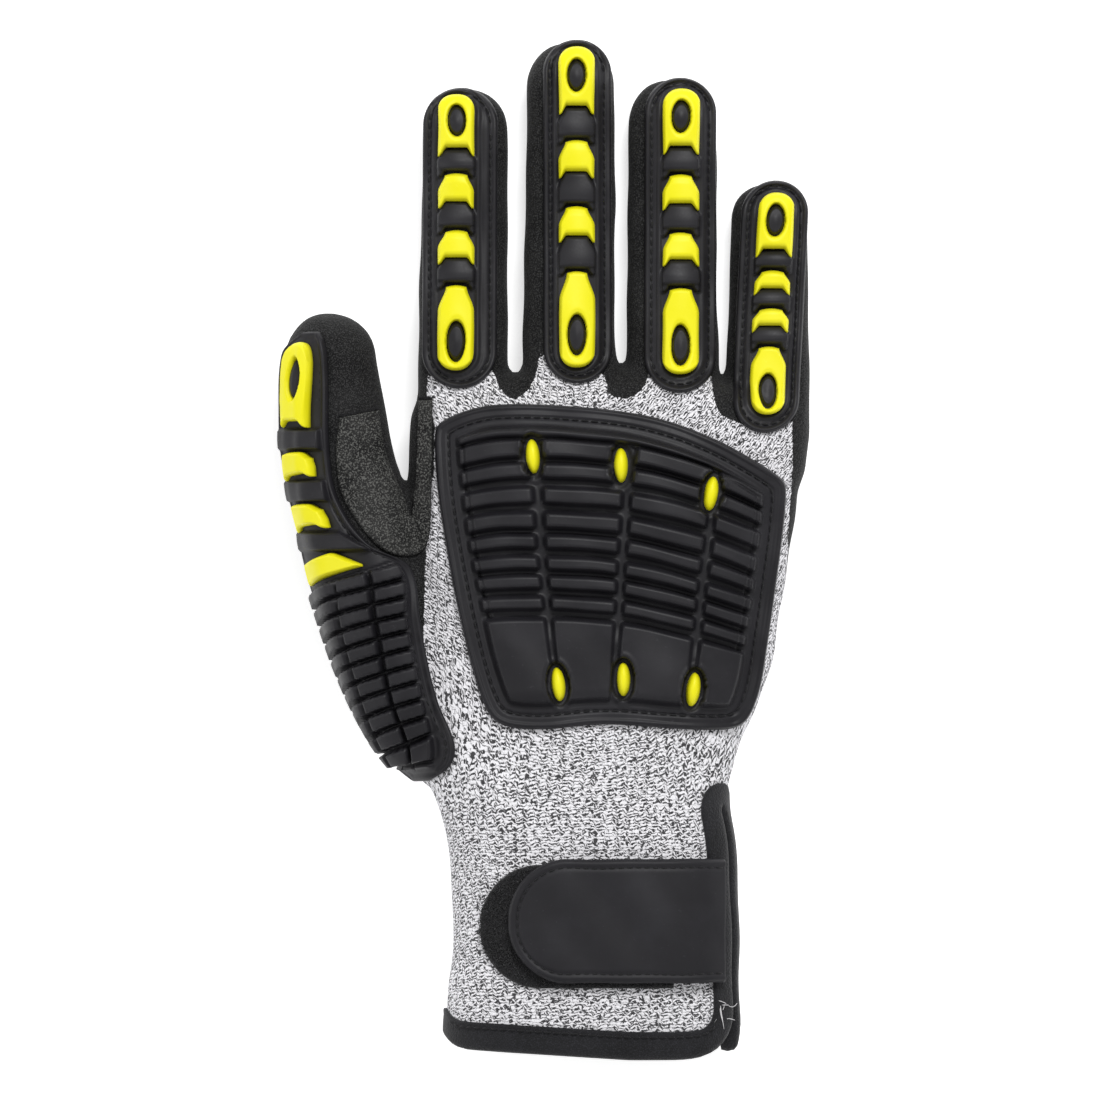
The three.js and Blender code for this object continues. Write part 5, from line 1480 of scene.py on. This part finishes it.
@dataclass
class ThumbGuard:
    """Guard that wraps the outer side of the thumb, with scales above and ribs below."""

    form: SoftForm
    palette: Palette
    rows: int = 250
    columns: int = 72
    top: float = 189.6
    bottom: float = 73.4
    stitch_in: float = 2.3
    hole_y: float = 177.4
    flange: float = 1.55
    seat: float = 1.5
    hump: float = 4.4
    crown: float = 5.2
    rib: float = 5.3
    groove: float = 1.1
    fan_high: float = 12.0
    rib_from: float = 126.3
    rib_to: float = 78.0
    rib_count: int = 11
    rib_rise: float = 9.0

    def column(self, k: int, y: Array) -> Array:
        """One column of the fan table."""
        return hermite(FAN_TABLE[:, 0], FAN_TABLE[:, k], y)

    def lay(self, y: Array, angle: Array, settle: int = 4) -> Slab:
        """Footing on the thumb at stations and angles in degrees."""
        turn = np.radians(angle).ravel()
        flat = y.ravel()
        origin = np.column_stack([self.column(1, flat), flat, np.full(len(flat), self.fan_high)])
        direction = np.column_stack([-np.sin(turn), np.zeros(len(turn)), np.cos(turn)])
        foot = self.form.exit_at(origin, direction)
        normal = self.form.normal(foot) + direction
        normal /= np.linalg.norm(normal, axis=1, keepdims=True)
        foot = foot.reshape(*y.shape, 3)
        lift = normal.reshape(*y.shape, 3)
        for _ in range(settle):
            foot = np.stack([even(foot[..., k]) for k in range(3)], axis=-1)
            lift = np.stack([even(lift[..., k]) for k in range(3)], axis=-1)
        lift /= np.linalg.norm(lift, axis=-1, keepdims=True)
        return Slab(foot, lift)

    def build(self) -> None:
        """Makes the guard, its inserts and its stitches."""
        y = np.linspace(self.top, self.bottom, self.rows)[:, None]
        share = np.linspace(0.0, 1.0, self.columns)[None, :]
        y, share = np.broadcast_arrays(y, share)
        angle = mix(self.column(2, y), self.column(3, y), share)
        slab = self.lay(y, angle, 5)
        steps = np.linalg.norm(np.diff(slab.foot, axis=1), axis=-1)
        run = np.concatenate([np.zeros((self.rows, 1)), np.cumsum(steps, axis=1)], axis=1)
        side = np.minimum(run, run[:, -1:] - run)
        ends = np.minimum(self.top - y, y - self.bottom)
        edge = np.minimum(side, ends * 1.1)
        high = self.flange * np.sqrt(np.clip(edge / 0.8 + 0.10, 0.1, 1.0))
        high = high + 0.30 * bump(edge, 0.8, 0.3, 0.4)
        high = high - 0.42 * bump(edge, self.stitch_in, 0.22, 0.35) * smooth(0.6, 0.45, share)
        scales = smooth(self.rib_from, self.rib_from + 0.6, self.level(y, share))
        inner = np.interp(y, [124.4, 132.4, 138.3, 186.7], [-9, -9, 16, 24])
        outer = np.interp(y, [124.4, 132.4, 138.3, 186.7], [76, 76, 73, 71])
        raised = smooth(inner - 6.0, inner - 2.5, angle) * smooth(outer + 8.0, outer + 3.0, angle)
        raised = raised * smooth(self.top - 1.0, self.top - 2.6, y)
        body = np.full_like(high, self.seat)
        for (_, _, above, _, _), (_, below, _, _, _) in zip(THUMB_INSERTS[:-1], THUMB_INSERTS[1:]):
            top, bottom = above - 0.35, below + 0.7
            band = smooth(bottom - 0.35, bottom + 0.25, y) * smooth(top + 0.3, top - 0.5, y)
            slope = 1 - 0.14 * smooth(bottom + 2.0, top, y)
            hump = self.hump * self.shoulder(angle)
            body = np.maximum(body, self.seat + (hump - self.seat) * band * slope)
        high = mix(high, np.maximum(body, high), raised * scales)
        high = high + self.swell(y, angle)
        high = mix(self.ribbed(y, share, angle, high), high, scales)
        guard = slab.build("thumb_guard_rubber", high + GAP, 0.15, Finish.GUARD, "thumb_guard")
        self.palette.give(guard, GUARD_LOOK)
        for name, above, below, inside, outside in THUMB_INSERTS:
            self.insert(name, above, below, inside, outside)
        self.stitches(slab, run)

    def level(self, y: Array, share: Array) -> Array:
        """Station along the rows, which rise toward the palm."""
        return y - self.rib_rise * (0.5 - share) * smooth(self.rib_to - 2, self.rib_to + 9, y)

    def shoulder(self, angle: Array) -> Array:
        """Share of the full height that is kept where the guard turns down at the side."""
        return 1 - 0.42 * smooth(38.0, 70.0, angle)

    def swell(self, y: Array, angle: Array) -> Array:
        """Extra thickness on the outer side of the upper thumb."""
        return 1.1 * smooth(46.0, 66.0, angle) * smooth(136.0, 148.0, y) * smooth(188.5, 184.0, y)

    def ribbed(self, y: Array, share: Array, angle: Array, base: Array) -> Array:
        """Height of the ribs."""
        pitch = (self.rib_from - self.rib_to) / self.rib_count
        level = self.level(y, share)
        place = (self.rib_from - level) / pitch
        part = place - np.floor(place)
        band = smooth(0.07, 0.15, part) * smooth(0.93, 0.83, part)
        columns = np.ones_like(share)
        for middle in (0.325, 0.57):
            columns = columns * (1 - bump(share, middle, 0.008, 0.012))
        zone = smooth(0.105, 0.135, share) * smooth(self.rib_to - 1.4, self.rib_to + 0.2, y)
        zone = zone * smooth(self.rib_from + 0.5, self.rib_from - 0.1, level)
        tall = self.groove + (self.rib * self.shoulder(angle) - self.groove) * band * columns
        return mix(base, tall, zone)

    def insert(self, name: str, above: float, below: float, inside: float, outside: float) -> None:
        """Makes one coloured scale of the thumb."""
        u = np.linspace(-1.0, 1.0, 49)
        v = np.linspace(0.0, 1.0, int((above - below) / 0.36) + 10)
        side = np.abs(u)
        half = (outside - inside) / 2
        radius = 4.8
        if name == "tip":
            top = above - radius * (1 - np.sqrt(np.clip(1 - side ** 2.3, 0, 1)))
        elif name == "base":
            top = np.interp(u, [-1.0, -0.40, -0.30, 1.0], [129.5, 132.6, 132.6, 129.6])
        else:
            top = above - 0.4 * side ** 2 - 1.3 * smooth(-0.45, -1.0, u)
        leg = {"tip": 1.7, "outer": 1.2, "inner": 1.3, "base": 0.9}[name]
        bottom = below + leg * smooth(0.9, 0.55, side) * smooth(-1.0, -0.4, u)
        bottom = bottom + {"tip": 0.0, "outer": -0.6, "inner": -0.7, "base": 0.2}[name] * u
        if name == "base":
            bottom = np.interp(u, [-1.0, 1.0], [128.9, 124.0])
        yy = top[None, :] + (bottom - top)[None, :] * v[:, None]
        narrow = 1.0 if name in ("tip", "base") else mix(0.88, 1.0, smooth(0.0, 0.55, v))[:, None]
        angle = (inside + outside) / 2 + u[None, :] * half * narrow
        slab = self.lay(yy, np.broadcast_to(angle, yy.shape), 4)
        steps = np.linalg.norm(np.diff(slab.foot, axis=1), axis=-1)
        run = np.concatenate([np.zeros((len(v), 1)), np.cumsum(steps, axis=1)], axis=1)
        edge = np.minimum(np.minimum(run, run[:, -1:] - run),
                          np.minimum(top[None, :] - yy, yy - bottom[None, :]))
        round_off = np.sqrt(np.clip(edge / 0.75, 0.0, 1.0))
        tall = self.crown * (1 - 0.06 * u[None, :] ** 2) * self.shoulder(angle) + self.swell(yy, angle)
        if name == "tip":
            q = np.hypot((u[None, :] + 0.05) * half / 9.5, (yy - self.hole_y) / 5.4)
            tall = tall - 2.6 * smooth(1.12, 0.90, q)
        base = self.seat + GAP
        piece = slab.build(f"thumb_scale_{name}", base + (tall + GAP - base) * (0.45 + 0.55 * round_off),
                           base - 0.5, Finish.INSERT, f"thumb_insert_{name}")
        self.palette.give(piece, INSERT_LOOK)
        if name == "tip":
            self.plug((inside + outside) / 2 - 0.05 * half, self.hole_y)

    def plug(self, angle: float, y: float) -> None:
        """Makes the black oval in the thumb's upper scale."""
        a = np.linspace(-1.0, 1.0, 25)
        p, q = np.meshgrid(a, a, indexing="ij")
        across = p * np.sqrt(1 - q * q / 2)
        along = q * np.sqrt(1 - p * p / 2)
        slab = self.lay(y + along * 4.9, angle + across * 8.2, 2)
        far = np.clip(np.hypot(across, along), 0, 1)
        piece = slab.build("thumb_plug", 3.0 + 1.6 * np.sqrt(1 - 0.8 * far ** 2), 2.2, Finish.GUARD)
        self.palette.give(piece, GUARD_LOOK)

    def stitches(self, slab: Slab, run: Array) -> None:
        """Sews the inner edge of the guard down."""
        spots = []
        outs = []
        for i in range(6, self.rows - 10):
            j = int(np.searchsorted(run[i], self.stitch_in))
            spots.append(slab.foot[i, j])
            outs.append(slab.lift[i, j])
        path = np.array(spots)
        out = np.array(outs).mean(axis=0)
        threads = Threads()
        line = resample(path, 2.3)
        lift = out / np.linalg.norm(out)
        foot = line + lift * (self.flange - 0.2 + GAP)
        for a, b in zip(foot[:-1], foot[1:]):
            threads.stitch(mix(a, b, 0.13), mix(a, b, 0.87), lift, 0.21, 0.20)
        seam = threads.build("thumb_guard_seam", Finish.TAPE)
        self.palette.give(seam, THREAD_LOOK)


# Patch between thumb and forefinger

PATCH_EDGE = (
    (-42.6, 169.4), (-41.2, 160.0), (-38.4, 152.0), (-35.2, 146.2), (-32.8, 148.0), (-32.2, 158.0),
    (-31.8, 172.0),
)
PATCH_INSIDE = (
    (-52.4, 167.4), (-53.3, 158.0), (-51.2, 146.0), (-41.0, 133.0), (-30.4, 133.6), (-28.6, 150.0),
    (-28.4, 172.0),
)


@dataclass
class CrotchPatch:
    """Coarse reinforcement folded over the web of the thumb."""

    form: SoftForm
    palette: Palette
    thick: float = 1.15

    def build(self) -> None:
        """Makes the patch and its frayed upper edge."""
        t = np.linspace(0.0, 1.0, 120)
        s = np.linspace(0.0, 1.0, 46)
        edge = spline(PATCH_EDGE, t)
        inside = spline(PATCH_INSIDE, t)
        plan = mix(edge[:, None, :], inside[:, None, :], s[None, :, None])
        slab = lay(self.form, plan, 3)
        x, y = plan[..., 0], plan[..., 1]
        lumps = 0.16 * np.sin(x * 2.7 + 1.7 * np.sin(y * 0.9)) * np.sin(y * 2.3 + 1.3 * np.sin(x * 1.1))
        lumps = lumps + 0.10 * np.sin(x * 5.3 + y * 3.1) * np.sin(y * 4.9 - x * 2.2)
        side = np.minimum(s, 1 - s)[None, :] * 18.0
        ends = np.minimum(t, 1 - t)[:, None] * 40.0
        near = np.sqrt(np.clip(np.minimum(side, ends) / 0.8 + 0.15, 0.0, 1.0))
        high = GAP + self.thick * near + lumps * near
        piece = slab.build("crotch_patch_cloth", high, 0.05, Finish.PATCH, "crotch_patch")
        self.palette.give(piece, PATCH_LOOK)
        self.fray(slab)

    def fray(self, slab: Slab) -> None:
        """Short threads at the two cut ends."""
        threads = Threads(sides=5)
        rng = np.random.default_rng(5)
        for row in (0, -1):
            for j in range(1, slab.foot.shape[1] - 1):
                for _ in range(3):
                    foot = slab.foot[row, j] + slab.lift[row, j] * (GAP + 0.5 * rng.random())
                    aim = np.array([rng.normal(0, 0.35), 1.0, rng.normal(0.2, 0.3)])
                    long = 0.35 + 0.75 * rng.random()
                    bend = np.array([rng.normal(0, 0.2), 0.0, rng.normal(0, 0.2)])
                    steps = np.linspace(0, 1, 4)[:, None]
                    threads.add(foot + aim * long * steps + bend * steps ** 2, 0.07)
        piece = threads.build("crotch_patch_fray", Finish.PATCH)
        self.palette.give(piece, THREAD_LOOK)


# Cuff closure

@dataclass(frozen=True)
class Band:
    """Band across the cuff in mm, with a round end toward the thumb."""

    left: float
    right: float
    low: float
    high: float
    corner: float

    def grid(self, rows: int, columns: int) -> tuple:
        """Plan grid, with how far in from the edge each point is."""
        middle = (self.low + self.high) / 2
        half = (self.high - self.low) / 2
        turn = np.linspace(0.10, math.pi / 2, rows // 3)
        x_round = self.left + self.corner * (1 - np.cos(turn))
        x_straight = np.linspace(self.left + self.corner, self.right, rows - len(turn) + 1)[1:]
        x = np.concatenate([x_round, x_straight])
        fall = np.clip((self.left + self.corner - x) / self.corner, 0.0, 1.0)
        reach = half - self.corner * (1 - np.sqrt(1 - fall ** 2))
        u = np.linspace(-1.0, 1.0, columns)
        y = middle + u[None, :] * reach[:, None]
        xx = np.broadcast_to(x[:, None], y.shape)
        ring_x = np.maximum(self.left + self.corner - xx, 0.0)
        ring_y = np.maximum(np.abs(y - middle) - (half - self.corner), 0.0)
        rounded_edge = self.corner - np.hypot(ring_x, ring_y)
        edge = np.where(xx < self.left + self.corner, rounded_edge, half - np.abs(y - middle))
        return np.stack([xx, y], axis=-1), np.maximum(edge, 0.0)

    def path(self, inset: float) -> Array:
        """Open path round the band, in from its edge."""
        middle = (self.low + self.high) / 2
        half = (self.high - self.low) / 2 - inset
        corner = self.corner - inset
        turn = np.linspace(0.0, math.pi / 2, 20)
        start = self.left + self.corner
        upper = np.column_stack([start - corner * np.sin(turn), middle + half - corner * (1 - np.cos(turn))])
        lower = upper[::-1] * [1, -1] + [0, 2 * middle]
        ends = np.array([[self.right - 0.4, middle + half]]), np.array([[self.right - 0.4, middle - half]])
        return np.vstack([ends[0], upper, lower, ends[1]])


@dataclass
class Closure:
    """Closure patch with its pile, and the bare strap that lies on it."""

    form: SoftForm
    palette: Palette
    strap: Band = Band(-8.1, 46.2, 21.0, 53.0, 15.0)
    loop: Band = Band(-15.6, 34.0, 19.6, 51.6, 15.0)
    strap_lift: float = 2.6
    strap_thick: float = 1.8
    stitch_in: float = 2.3
    stitch_pitch: float = 2.2
    loop_thick: float = 1.1
    ray_start: float = 17.0
    settle: int = 16
    loops: int = 5200

    def lay(self, band: Band, rows: int, columns: int) -> tuple:
        """Footing of a band on the cuff."""
        plan, edge = band.grid(rows, columns)
        shape = plan.shape[:2]
        found = self.form.over(plan.reshape(-1, 2), self.ray_start)
        normal = self.form.normal(found) + [0.0, 0.0, 1.0]
        foot = found.reshape(*shape, 3)
        lift = normal.reshape(*shape, 3)
        for _ in range(self.settle):
            foot[..., 2] = even(foot[..., 2])
            lift = np.stack([even(lift[..., k]) for k in range(3)], axis=-1)
        lift /= np.linalg.norm(lift, axis=-1, keepdims=True)
        return Slab(foot, lift), plan, edge

    def build(self) -> None:
        """Makes the patch, its pile and the strap."""
        slab, plan, edge = self.lay(self.loop, 110, 64)
        lumps = 0.10 * np.sin(plan[..., 0] * 3.1 + np.sin(plan[..., 1] * 1.3)) * np.sin(plan[..., 1] * 3.4)
        body = self.loop_thick * np.sqrt(np.clip(edge / 0.8 + 0.15, 0, 1))
        high = GAP + body + lumps * smooth(0.1, 0.6, edge)
        patch = slab.build("loop_patch_cloth", high - 0.15, 0.1, Finish.PILE, "loop_patch")
        self.palette.give(patch, PILE_LOOK)
        self.pile(slab, plan, high)
        slab, plan, edge = self.lay(self.strap, 130, 70)
        high = self.strap_thick * np.sqrt(np.clip(edge / 0.9 + 0.2, 0, 1))
        high = high - 0.26 * bump(edge, self.stitch_in, 0.18, 0.25) + 0.16 * bump(edge, 1.15, 0.45, 0.4)
        high = high + 0.10 * smooth(2.7, 3.3, edge)
        under = self.strap_lift + self.sag(plan[..., 0])
        strap = slab.build("strap_rubber", under + high, under, Finish.STRAP, "strap")
        self.palette.give(strap, STRAP_LOOK)
        self.seam()

    def sag(self, x: Array) -> Array:
        """Extra height of the strap along x: up at its round end, down at the other."""
        return 0.25 * smooth(-4.0, -8.0, x) - 0.5 * smooth(40.0, 48.0, x)

    def seam(self) -> None:
        """Sews the border of the strap."""
        path = resample(self.strap.path(self.stitch_in), self.stitch_pitch)
        spots = self.form.over(path, self.ray_start)
        normal = self.form.normal(spots) + [0.0, 0.0, 1.0]
        normal /= np.linalg.norm(normal, axis=1, keepdims=True)
        foot = spots + normal * (self.strap_lift + self.strap_thick - 0.28 + self.sag(path[:, 0]))[:, None]
        threads = Threads()
        for a, b, out in zip(foot[:-1], foot[1:], normal[:-1]):
            threads.stitch(mix(a, b, 0.13), mix(a, b, 0.87), out, 0.22, 0.20)
        seam = threads.build("strap_seam", Finish.STRAP)
        self.palette.give(seam, THREAD_LOOK)

    def pile(self, slab: Slab, plan: Array, high: Array) -> None:
        """Small loops standing up where the patch shows beside the strap."""
        rng = np.random.default_rng(11)
        threads = Threads(sides=4)
        rows, columns = plan.shape[:2]
        for _ in range(self.loops):
            i = rng.integers(1, rows - 1)
            j = rng.integers(1, columns - 1)
            x, y = plan[i, j]
            under = x > self.strap.left + 6.0 and self.strap.low + 2.0 < y < self.strap.high - 2.0
            if under:
                continue
            lift = slab.lift[i, j]
            spread = np.array([rng.normal(0, 0.35), rng.normal(0, 0.35), 0.0])
            foot = slab.foot[i, j] + lift * (high[i, j] - 0.25) + spread * 0.6
            turn = rng.random() * 2 * math.pi
            flat = np.array([math.cos(turn), math.sin(turn), 0.0]) * (0.30 + 0.15 * rng.random())
            tall = 0.35 + 0.30 * rng.random()
            sway = np.array([rng.normal(0, 0.15), rng.normal(0, 0.15), 0.0])
            bow = [foot - flat, foot - flat * 0.9 + lift * tall * 0.7, foot + lift * tall + sway,
                   foot + flat * 0.9 + lift * tall * 0.7, foot + flat]
            threads.add(np.array(bow), 0.075, 0.9)
        piece = threads.build("loop_pile", Finish.PILE)
        self.palette.give(piece, PILE_LOOK)


@dataclass
class Binding:
    """Tape folded over the hem and both edges of the slit."""

    form: SoftForm
    palette: Palette
    skin: Skin
    width: float = 6.4
    thick: float = 0.95
    middle: tuple = (12.2, 17.0)
    slit_angle: float = 10.0
    slit_half: float = 1.7
    round_top: float = 3.2
    corner: float = 12.0
    corner_low: float = 2.2

    def spot(self, angle: float, y: float) -> tuple[Array, Array]:
        """Skin point and outward direction at an angle and a station."""
        origin = np.array([[self.middle[0], y, self.middle[1]]])
        turn = math.radians(angle)
        direction = np.array([[math.cos(turn), 0.0, math.sin(turn)]])
        foot = self.form.exit_at(origin, direction)
        normal = self.form.normal(foot)
        normal[:, 1] = 0.0
        return foot[0], normal[0] / np.linalg.norm(normal[0])

    def path(self) -> list:
        """Stations on the cloth edge: angle, y, and the way into the cloth."""
        left = self.slit_angle + self.slit_half
        right = self.slit_angle - self.slit_half + 360.0
        top = self.skin.slit_top
        out = []
        for turn in np.linspace(90, 180, 7)[1:]:
            rad = math.radians(turn)
            angle = self.slit_angle - self.slit_half * math.cos(rad)
            out.append((angle, top - self.round_top * (1 - math.sin(rad)), -math.cos(rad), math.sin(rad)))
        for y in np.linspace(top - 4.0, 15.0, 26):
            out.append((left, y, 1.0, 0.0))
        for turn in np.linspace(0, 90, 9):
            rad = math.radians(turn)
            angle = left + 15.0 * (1 - math.cos(rad))
            y = self.corner_low + self.corner * (1 - math.sin(rad))
            out.append((angle, y, math.cos(rad), math.sin(rad)))
        for angle in np.linspace(left + 19.0, right - 8.0, 110):
            foot, _ = self.spot(angle, 4.0)
            out.append((angle, float(self.skin.hem(foot[0])), 0.0, 1.0))
        for turn in np.linspace(90, 0, 8):
            rad = math.radians(turn)
            angle = right - 6.0 * (1 - math.cos(rad))
            y = self.corner_low + 7.0 * (1 - math.sin(rad)) + 4.0 * math.cos(rad)
            out.append((angle, y, -math.cos(rad), math.sin(rad)))
        for y in np.linspace(15.0, top - 4.0, 26):
            out.append((right, y, -1.0, 0.0))
        for turn in np.linspace(0, 90, 7)[:-1]:
            rad = math.radians(turn)
            angle = right + self.slit_half * (1 - math.cos(rad))
            out.append((angle, top - self.round_top * (1 - math.sin(rad)), -math.cos(rad), math.sin(rad)))
        return out

    def build(self) -> None:
        """Makes the tape, its stitches and a few loose ends."""
        stations = self.path()
        t, w = self.thick, self.width
        inner = -WALL - 0.25
        profile = [
            (w, 0.12), (w, t * 0.9), (w - 0.5, t + 0.1), (w * 0.75, t), (w * 0.5, t + 0.06),
            (w * 0.25, t + 0.05), (0.5, t),
            (-0.6, t * 0.4), (-1.0, inner / 2), (-0.6, inner - 0.5), (0.5, inner - t), (w * 0.5, inner - t),
            (w, inner - t * 0.9), (w, inner), (0.4, inner), (0.1, inner / 2), (0.4, 0.10),
        ]
        rings = []
        outs = []
        for angle, y, across, up in stations:
            foot, out = self.spot(angle, y)
            near, _ = self.spot(angle + 1.0, y)
            pace = float(np.linalg.norm(near - foot))
            ring = []
            for reach, rise in profile:
                turn = angle + np.clip(reach * across / max(pace, 0.3), -26.0, 26.0)
                spot, normal = self.spot(turn, y + reach * up)
                ring.append(spot + normal * rise)
            rings.append(ring)
            outs.append(out)
        points = np.array(rings)
        for _ in range(2):
            points = (np.roll(points, 1, axis=0) + 2 * points + np.roll(points, -1, axis=0)) / 4
        points[..., 2] = np.maximum(points[..., 2], 0.02)
        count = len(profile)
        total = len(rings)
        faces = []
        for i in range(total):
            for j in range(count):
                a, b = i * count + j, i * count + (j + 1) % count
                c, d = ((i + 1) % total) * count + (j + 1) % count, ((i + 1) % total) * count + j
                faces.append([a, d, c, b])
        piece = new_piece("binding_tape", points.reshape(-1, 3), faces, "cuff_binding")
        self.palette.give(piece, TAPE_LOOK)
        line = points[:, 3, :] + (points[:, 2, :] - points[:, 3, :]) * 0.2
        out = np.array(outs)
        path = np.vstack([line, line[:1]])
        fine = resample(path, 2.3)
        nearest = np.argmin(((fine[:, None, :] - line[None, :, :]) ** 2).sum(axis=2), axis=1)
        threads = Threads()
        for k in range(len(fine) - 1):
            normal = out[nearest[k]]
            a, b = fine[k] + normal * 0.30, fine[k + 1] + normal * 0.30
            if min(a[2], b[2]) < 1.2 or abs(normal[2]) < 0.6:
                continue
            threads.stitch(mix(a, b, 0.12), mix(a, b, 0.88), normal, 0.20, 0.20)
        seam = threads.build("binding_seam", Finish.TAPE)
        self.palette.give(seam, THREAD_LOOK)
        self.loose()

    def loose(self) -> None:
        """Frayed pale threads at the lower corner and one dark end at the top of the slit."""
        rng = np.random.default_rng(23)
        threads = Threads(sides=5)
        for _ in range(9):
            foot, out = self.spot(18.0 + rng.normal(0, 2.0), 15.0 + rng.normal(0, 2.2))
            aim = np.array([rng.normal(0.25, 0.5), rng.normal(-0.5, 0.5), 0.15])
            steps = np.linspace(0, 1, 6)[:, None]
            bend = np.array([rng.normal(0, 1.0), rng.normal(0, 1.0), 0.3])
            threads.add(foot + out * 0.8 + aim * steps * 2.6 + bend * steps ** 2, 0.11)
        pale = threads.build("frayed_ends", Finish.KNIT)
        self.palette.give(pale, WHITE_LOOK)
        dark = Threads(sides=5)
        foot, out = self.spot(8.0, 66.0)
        steps = np.linspace(0, 1, 12)[:, None]
        fall = np.array([1.6, -3.6, 0.2]) * steps
        curl = np.array([-1.8, 0.6, 0.0]) * steps ** 2
        dark.add(foot + out * 0.7 + fall + curl, 0.14)
        end = dark.build("loose_end", Finish.TAPE)
        self.palette.give(end, THREAD_LOOK)


# Light, floor and camera

class Studio:
    """Pale floor, soft light and a camera straight above."""

    def build(self) -> None:
        """Sets everything that isn't the glove."""
        self.floor()
        self.lights()
        self.camera()
        self.view()

    def floor(self) -> None:
        """Lays a pale floor."""
        bpy.ops.mesh.primitive_plane_add(size=6.0, location=(0.0, 0.0, -0.0002))
        plane = bpy.context.object
        plane.name = "floor"
        made = bpy.data.materials.new("Pale floor")
        made.use_nodes = True
        shader = made.node_tree.nodes["Principled BSDF"]
        shader.inputs["Base Color"].default_value = (0.93, 0.93, 0.93, 1.0)
        shader.inputs["Roughness"].default_value = 0.9
        shader.inputs["Emission Color"].default_value = (1.0, 1.0, 1.0, 1.0)
        shader.inputs["Emission Strength"].default_value = 0.62
        plane.data.materials.append(made)

    def light(self, name: str, place: tuple, size: float, power: float) -> None:
        """Adds a soft box aimed at the glove."""
        data = bpy.data.lights.new(name, "AREA")
        data.shape = "RECTANGLE"
        data.size = size
        data.size_y = size * 0.7
        data.energy = power
        lamp = bpy.data.objects.new(name, data)
        lamp.location = place
        lamp.rotation_euler = (-Vector(place)).to_track_quat("-Z", "Y").to_euler()
        bpy.context.scene.collection.objects.link(lamp)

    def lights(self) -> None:
        """Large light from above and behind, with a weaker one in front."""
        self.light("key", (0.25, 0.80, 1.10), 0.45, 11.5)
        self.light("left", (-0.95, -0.05, 0.8), 0.6, 2.6)
        self.light("front", (0.5, -0.9, 0.9), 0.7, 1.8)
        world = bpy.data.worlds.new("studio")
        bpy.context.scene.world = world
        world.use_nodes = True
        back = world.node_tree.nodes["Background"]
        back.inputs["Color"].default_value = (1.0, 1.0, 1.0, 1.0)
        back.inputs["Strength"].default_value = 0.44

    def camera(self) -> None:
        """Looks straight down through a long lens."""
        data = bpy.data.cameras.new("camera")
        data.sensor_width = 36.0
        data.lens = 754.0
        eye = bpy.data.objects.new("camera", data)
        eye.location = (0.00114, 0.00039, 6.0)
        eye.rotation_euler = (0.0, 0.0, 0.0)
        bpy.context.scene.collection.objects.link(eye)
        bpy.context.scene.camera = eye

    def view(self) -> None:
        """Plain view of the colours."""
        settings = bpy.context.scene.view_settings
        settings.view_transform = "Standard"
        settings.look = "None"
        settings.exposure = 0.0


def main() -> None:
    """Builds the glove in order, then the studio."""
    logging.basicConfig(level=logging.INFO, format="%(name)s: %(message)s")
    form = SoftForm()
    form.build()
    palette = Palette()
    skin = Skin(form, palette)
    skin.build()
    for size, finger in zip(GUARDS, FINGERS):
        FingerGuard(form, palette, size, finger).build()
    BackPlate(form, palette).build()
    ThumbGuard(form, palette).build()
    CrotchPatch(form, palette).build()
    Closure(form, palette).build()
    Binding(form, palette, skin).build()
    Studio().build()


if __name__ == "__main__":
    main()
